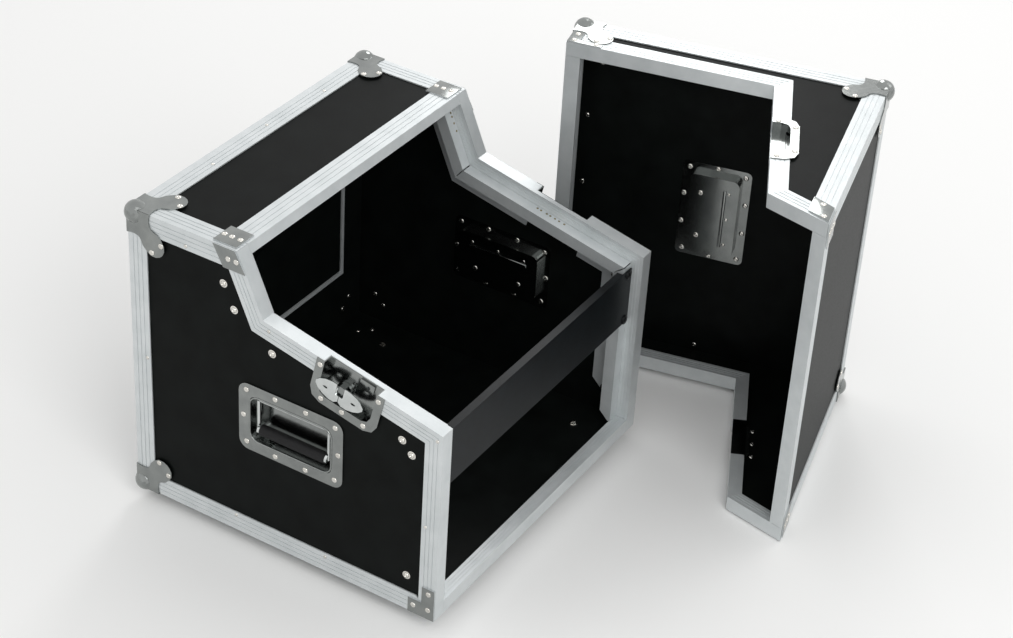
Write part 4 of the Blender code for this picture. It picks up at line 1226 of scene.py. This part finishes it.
@dataclass
class KeeperShadeSheets:
    """Dark sheets over the keepers' pans, their black a painted shade.

    They lie on the lid's rim, which the real case has cut away there; their black paints the shade
    in that opening.
    """

    finishes: Finishes
    # Along the gentle slope from the knee, and square to it, below 0 in the lid.
    span: Pair = (100.0, 182.0)
    reach: Pair = (-0.8, -20.6)
    sheet: float = 0.6
    rim: float = 0.8
    swell: float = 0.25

    def add(self) -> None:
        """Folds one painted-shade sheet from the rim's inner face down to the board, for each
        side.
        """
        low = (PLAN.rim_inner, self.span[0], self.reach[1])
        high = (PLAN.rim_inner + self.sheet, self.span[1], self.reach[0])
        obj = Bench.block("keeper_shade_sheet_model", low, high)
        Bench.pick(obj, lambda centre, normal: normal.x > 0.9)
        bpy.ops.mesh.inset(thickness=self.rim)
        bpy.ops.transform.translate(value=(self.swell, 0, 0))
        bpy.ops.object.mode_set(mode="OBJECT")
        Bench.stretch(obj, lower, (0, 0, -self.sheet))
        fold = self.reach[1]
        drop = PLAN.board_back - PLAN.rim_inner
        Bench.stretch(
            obj, lambda centre, normal: normal.x < -0.9 and centre.z < fold, (drop, 0, 0)
        )
        Bench.done(obj, 20)
        middle = PLAN.slope(0.0, 0.0)
        ahead = Vector(PLAN.slope(1.0, 0.0)) - Vector(middle)
        inward = Vector(PLAN.slope(0.0, 1.0)) - Vector(middle)
        lay = Matrix(
            (
                (1, 0, 0, 0),
                (0, ahead.x, inward.x, middle[0]),
                (0, ahead.y, inward.y, middle[1]),
                (0, 0, 0, 1),
            )
        )
        copies = [Bench.copy(obj, place @ lay) for place in (LID, LID @ ACROSS)]
        bpy.data.objects.remove(obj)
        piece = Bench.gather("keeper_shade_sheets", copies)
        # The black finish here is painted shade of the opening in the rim round each keeper.
        Bench.finish(piece, self.finishes.black, "lid", "plated_steel")


# ---------------- handles


@dataclass
class HandleGrips:
    """Moulded grips over the bails' bars, and the rolled rims and ribs of the dishes."""

    finishes: Finishes
    length: float = 104.0
    radius: float = 7.9
    flange: Pair = (0.8, 0.4)
    # The bail's pivot from the handle's centre, and its bar below the pivot.
    pivot_in: float = 8.8
    pivot_up: float = 29.5
    drop: float = 49.0
    opening: Pair = (131.0, 72.0)
    corner: float = 14.0
    roll: float = 1.3
    rib_size: Pair = (98.0, 5.0)
    rib_up: float = 16.5
    rib_root: Pair = (-0.2, 0.5)
    rib_rings: tuple[Pair, ...] = ((0.8, 0.9), (0.4, 0.2))

    def grip(self) -> bpy.types.Object:
        """A grip with flanged ends, along x and in its place on the bail.

        Returns:
            The grip, in the handle's own frame.
        """
        obj = Bench.drum("grip_model", self.radius, self.length, 24)
        inset, rise = self.flange
        Bench.pick(obj, upper)
        Bench.step(inset, rise)
        Bench.done(obj)
        Bench.pick(obj, lower)
        Bench.step(inset, -rise)
        Bench.done(obj, 50)
        start = (-self.length / 2, self.pivot_up - self.drop, self.pivot_in)
        obj.data.transform(Matrix.Translation(start) @ Matrix.Rotation(math.radians(90), 4, "Y"))
        return obj

    def rim(self) -> bpy.types.Object:
        """The rolled rim round a dish's opening.

        Returns:
            The rim, in the handle's own frame.
        """
        Bench.clear()
        bpy.ops.mesh.primitive_plane_add(size=1)
        obj = Bench.settle(bpy.context.object, "handle_rim_model")
        Bench.pick(obj, lambda centre, normal: True)
        bpy.ops.transform.resize(value=(self.opening[0], self.opening[1], 1.0))
        bpy.ops.mesh.bevel(offset=self.corner, segments=5, affect="VERTICES")
        bpy.ops.mesh.delete(type="ONLY_FACE")
        bpy.ops.object.mode_set(mode="OBJECT")
        bpy.ops.object.convert(target="CURVE")
        curve = bpy.context.object
        curve.data.bevel_depth = self.roll
        curve.data.bevel_resolution = 2
        bpy.ops.object.convert(target="MESH")
        obj = Bench.done(bpy.context.object, 60)
        obj.data.transform(Matrix.Translation((0, 0, PLAN.handle_face)))
        return obj

    def rib(self) -> bpy.types.Object:
        """The stiffening rib pressed along a dish's back.

        Returns:
            The rib, in the handle's own frame.
        """
        half = self.rib_size[0] / 2
        side = self.rib_size[1] / 2
        root, face = self.rib_root
        low = (-half, self.rib_up - side, root)
        obj = Bench.block("dish_rib_model", low, (half, self.rib_up + side, face))
        Bench.pick(obj, upper)
        for inset, rise in self.rib_rings:
            Bench.step(inset, rise)
        Bench.done(obj, 50)
        obj.data.transform(Matrix.Translation((0, 0, PLAN.dish_back)))
        return obj

    def frames(self) -> list[tuple[str, str, str, Matrix]]:
        """The handles' own frames: x along the handle, y up, and z into the case.

        Returns:
            For each handle its name, the bodies of its dish and its bail, and the frame.
        """
        y, z = PLAN.handle_centre
        left = Matrix(((0, 0, 1, 0), (1, 0, 0, y), (0, 1, 0, z), (0, 0, 0, 1)))
        right = Matrix(((0, 0, -1, PLAN.width), (-1, 0, 0, y), (0, 1, 0, z), (0, 0, 0, 1)))
        middle, front, high = PLAN.width / 2, -PLAN.lid_depth, PLAN.height / 2
        lid = Matrix(((-1, 0, 0, middle), (0, 0, 1, front), (0, 1, 0, high), (0, 0, 0, 1)))
        return [
            ("handle_left", "base", "handle_left", BASE @ left),
            ("handle_right", "base", "handle_right", BASE @ right),
            ("lid_handle", "lid", "lid_bail", LID @ lid),
        ]

    def add(self) -> None:
        """All three grips, rims and ribs."""
        for kind, model, material, slot in (
            ("grip", self.grip(), self.finishes.grip, "polished_chrome"),
            ("rim", self.rim(), self.finishes.steel, "plated_steel"),
            ("rib", self.rib(), self.finishes.steel, "plated_steel"),
        ):
            for name, dish, bail, place in self.frames():
                piece = Bench.copy(model, place)
                piece.name = f"{name}_{kind}"
                Bench.finish(piece, material, bail if kind == "grip" else dish, slot)
            bpy.data.objects.remove(model)


# ---------------- stage


@dataclass(frozen=True)
class Lamp:
    """A soft square lamp, its place and side in metres and its power in watts."""

    name: str
    at: Point
    size: float
    watts: float


@dataclass
class Stage:
    """Floor, lights and the camera of the photograph."""

    floor_size: float = 14.0
    floor_drop: float = 0.0005
    floor_colour: str = "#f4f4f3"
    floor_roughness: float = 0.9
    floor_specular: float = 0.1
    world_strength: float = 0.8
    lamps: tuple[Lamp, ...] = (
        Lamp("key_lamp", at=(-1.9, -2.4, 2.6), size=1.8, watts=42.0),
        Lamp("fill_lamp", at=(2.8, -1.6, 2.4), size=1.6, watts=9.0),
        Lamp("back_lamp", at=(2.35, 1.03, 2.24), size=0.8, watts=14.0),
    )
    aim: Point = (0.0, 0.0, 0.2)
    sensor_mm: float = 36.0
    clip: Pair = (0.05, 60.0)
    focal_px: float = 2356.2
    image_width: int = 1013
    camera_at: Point = (-2.387198, -1.321968, 2.097003)
    right: Point = (0.52981803, -0.84635383, 0.05457152)
    down: Point = (-0.45531573, -0.33813375, -0.82362197)
    forward: Point = (0.71552808, 0.4115225, -0.56450757)

    def add_camera(self) -> None:
        """The camera fitted to the photograph's corners."""
        data = bpy.data.cameras.new("photo_camera")
        data.sensor_width = self.sensor_mm
        data.sensor_fit = "HORIZONTAL"
        data.lens = self.focal_px / self.image_width * self.sensor_mm
        data.clip_start, data.clip_end = self.clip
        camera = bpy.data.objects.new("photo_camera", data)
        bpy.context.scene.collection.objects.link(camera)
        axes = (Vector(self.right), -Vector(self.down), -Vector(self.forward))
        turn = Matrix(axes).transposed().to_4x4()
        camera.matrix_world = Matrix.Translation(self.camera_at) @ turn
        bpy.context.scene.camera = camera

    def add_floor(self) -> None:
        """A plain pale floor that keeps the object's shadow."""
        Bench.clear()
        bpy.ops.mesh.primitive_plane_add(
            size=self.floor_size, location=(0, 0, -self.floor_drop)
        )
        floor = bpy.context.object
        floor.name = "studio_floor"
        material = bpy.data.materials.new("painted_floor")
        material.use_nodes = True
        shader = material.node_tree.nodes["Principled BSDF"]
        shader.inputs["Base Color"].default_value = linear(self.floor_colour)
        shader.inputs["Roughness"].default_value = self.floor_roughness
        shader.inputs["Specular IOR Level"].default_value = self.floor_specular
        floor.data.materials.append(material)

    def add_world(self) -> None:
        """White to the camera, in reflections and through glass, softer as a light."""
        world = bpy.data.worlds.new("studio_world")
        world.use_nodes = True
        bpy.context.scene.world = world
        tree = world.node_tree
        tree.nodes.clear()
        path = add_node(tree, "ShaderNodeLightPath").outputs
        direct = {0: path["Is Camera Ray"], 1: path["Is Transmission Ray"]}
        seen = add_node(tree, "ShaderNodeMath", links=direct, operation="MAXIMUM")
        both = {0: seen.outputs[0], 1: path["Is Glossy Ray"]}
        seen = add_node(tree, "ShaderNodeMath", links=both, operation="MAXIMUM")
        white = (1.0, 1.0, 1.0, 1.0)
        soft = {"Color": white, "Strength": self.world_strength}
        lit = add_node(tree, "ShaderNodeBackground", soft)
        shown = add_node(tree, "ShaderNodeBackground", {"Color": white, "Strength": 1.0})
        sources = {0: seen.outputs[0], 1: lit.outputs[0], 2: shown.outputs[0]}
        mix = add_node(tree, "ShaderNodeMixShader", links=sources)
        add_node(tree, "ShaderNodeOutputWorld", links={"Surface": mix.outputs[0]})

    def add_lamp(self, lamp: Lamp) -> None:
        """Hangs a lamp and aims it at the case.

        Args:
            lamp: The lamp to add.
        """
        data = bpy.data.lights.new(lamp.name, "AREA")
        data.size = lamp.size
        data.energy = lamp.watts
        hung = bpy.data.objects.new(lamp.name, data)
        bpy.context.scene.collection.objects.link(hung)
        hung.location = lamp.at
        aim = Vector(self.aim) - Vector(lamp.at)
        hung.rotation_euler = aim.to_track_quat("-Z", "Y").to_euler()

    def add(self) -> None:
        """Everything that isn't the object."""
        bpy.context.scene.view_settings.view_transform = "Standard"
        self.add_camera()
        self.add_floor()
        self.add_world()
        for lamp in self.lamps:
            self.add_lamp(lamp)
        LOG.info("stage: floor, world, camera and %d lamps", len(self.lamps))


def main() -> None:
    """Builds the stage and dresses the case."""
    logging.basicConfig(level=logging.INFO, format="%(message)s")
    Stage().add()
    finishes = Finishes()
    finishes.dress_frame()
    fasteners = Fasteners(finishes)
    fasteners.model_all()
    CaseRivets(fasteners).add_all()
    fasteners.clear_models()
    for assembly in (SteelPlates, HatchRing, KeeperShadeSheets, HandleGrips):
        assembly(finishes).add()


if __name__ == "__main__":
    main()
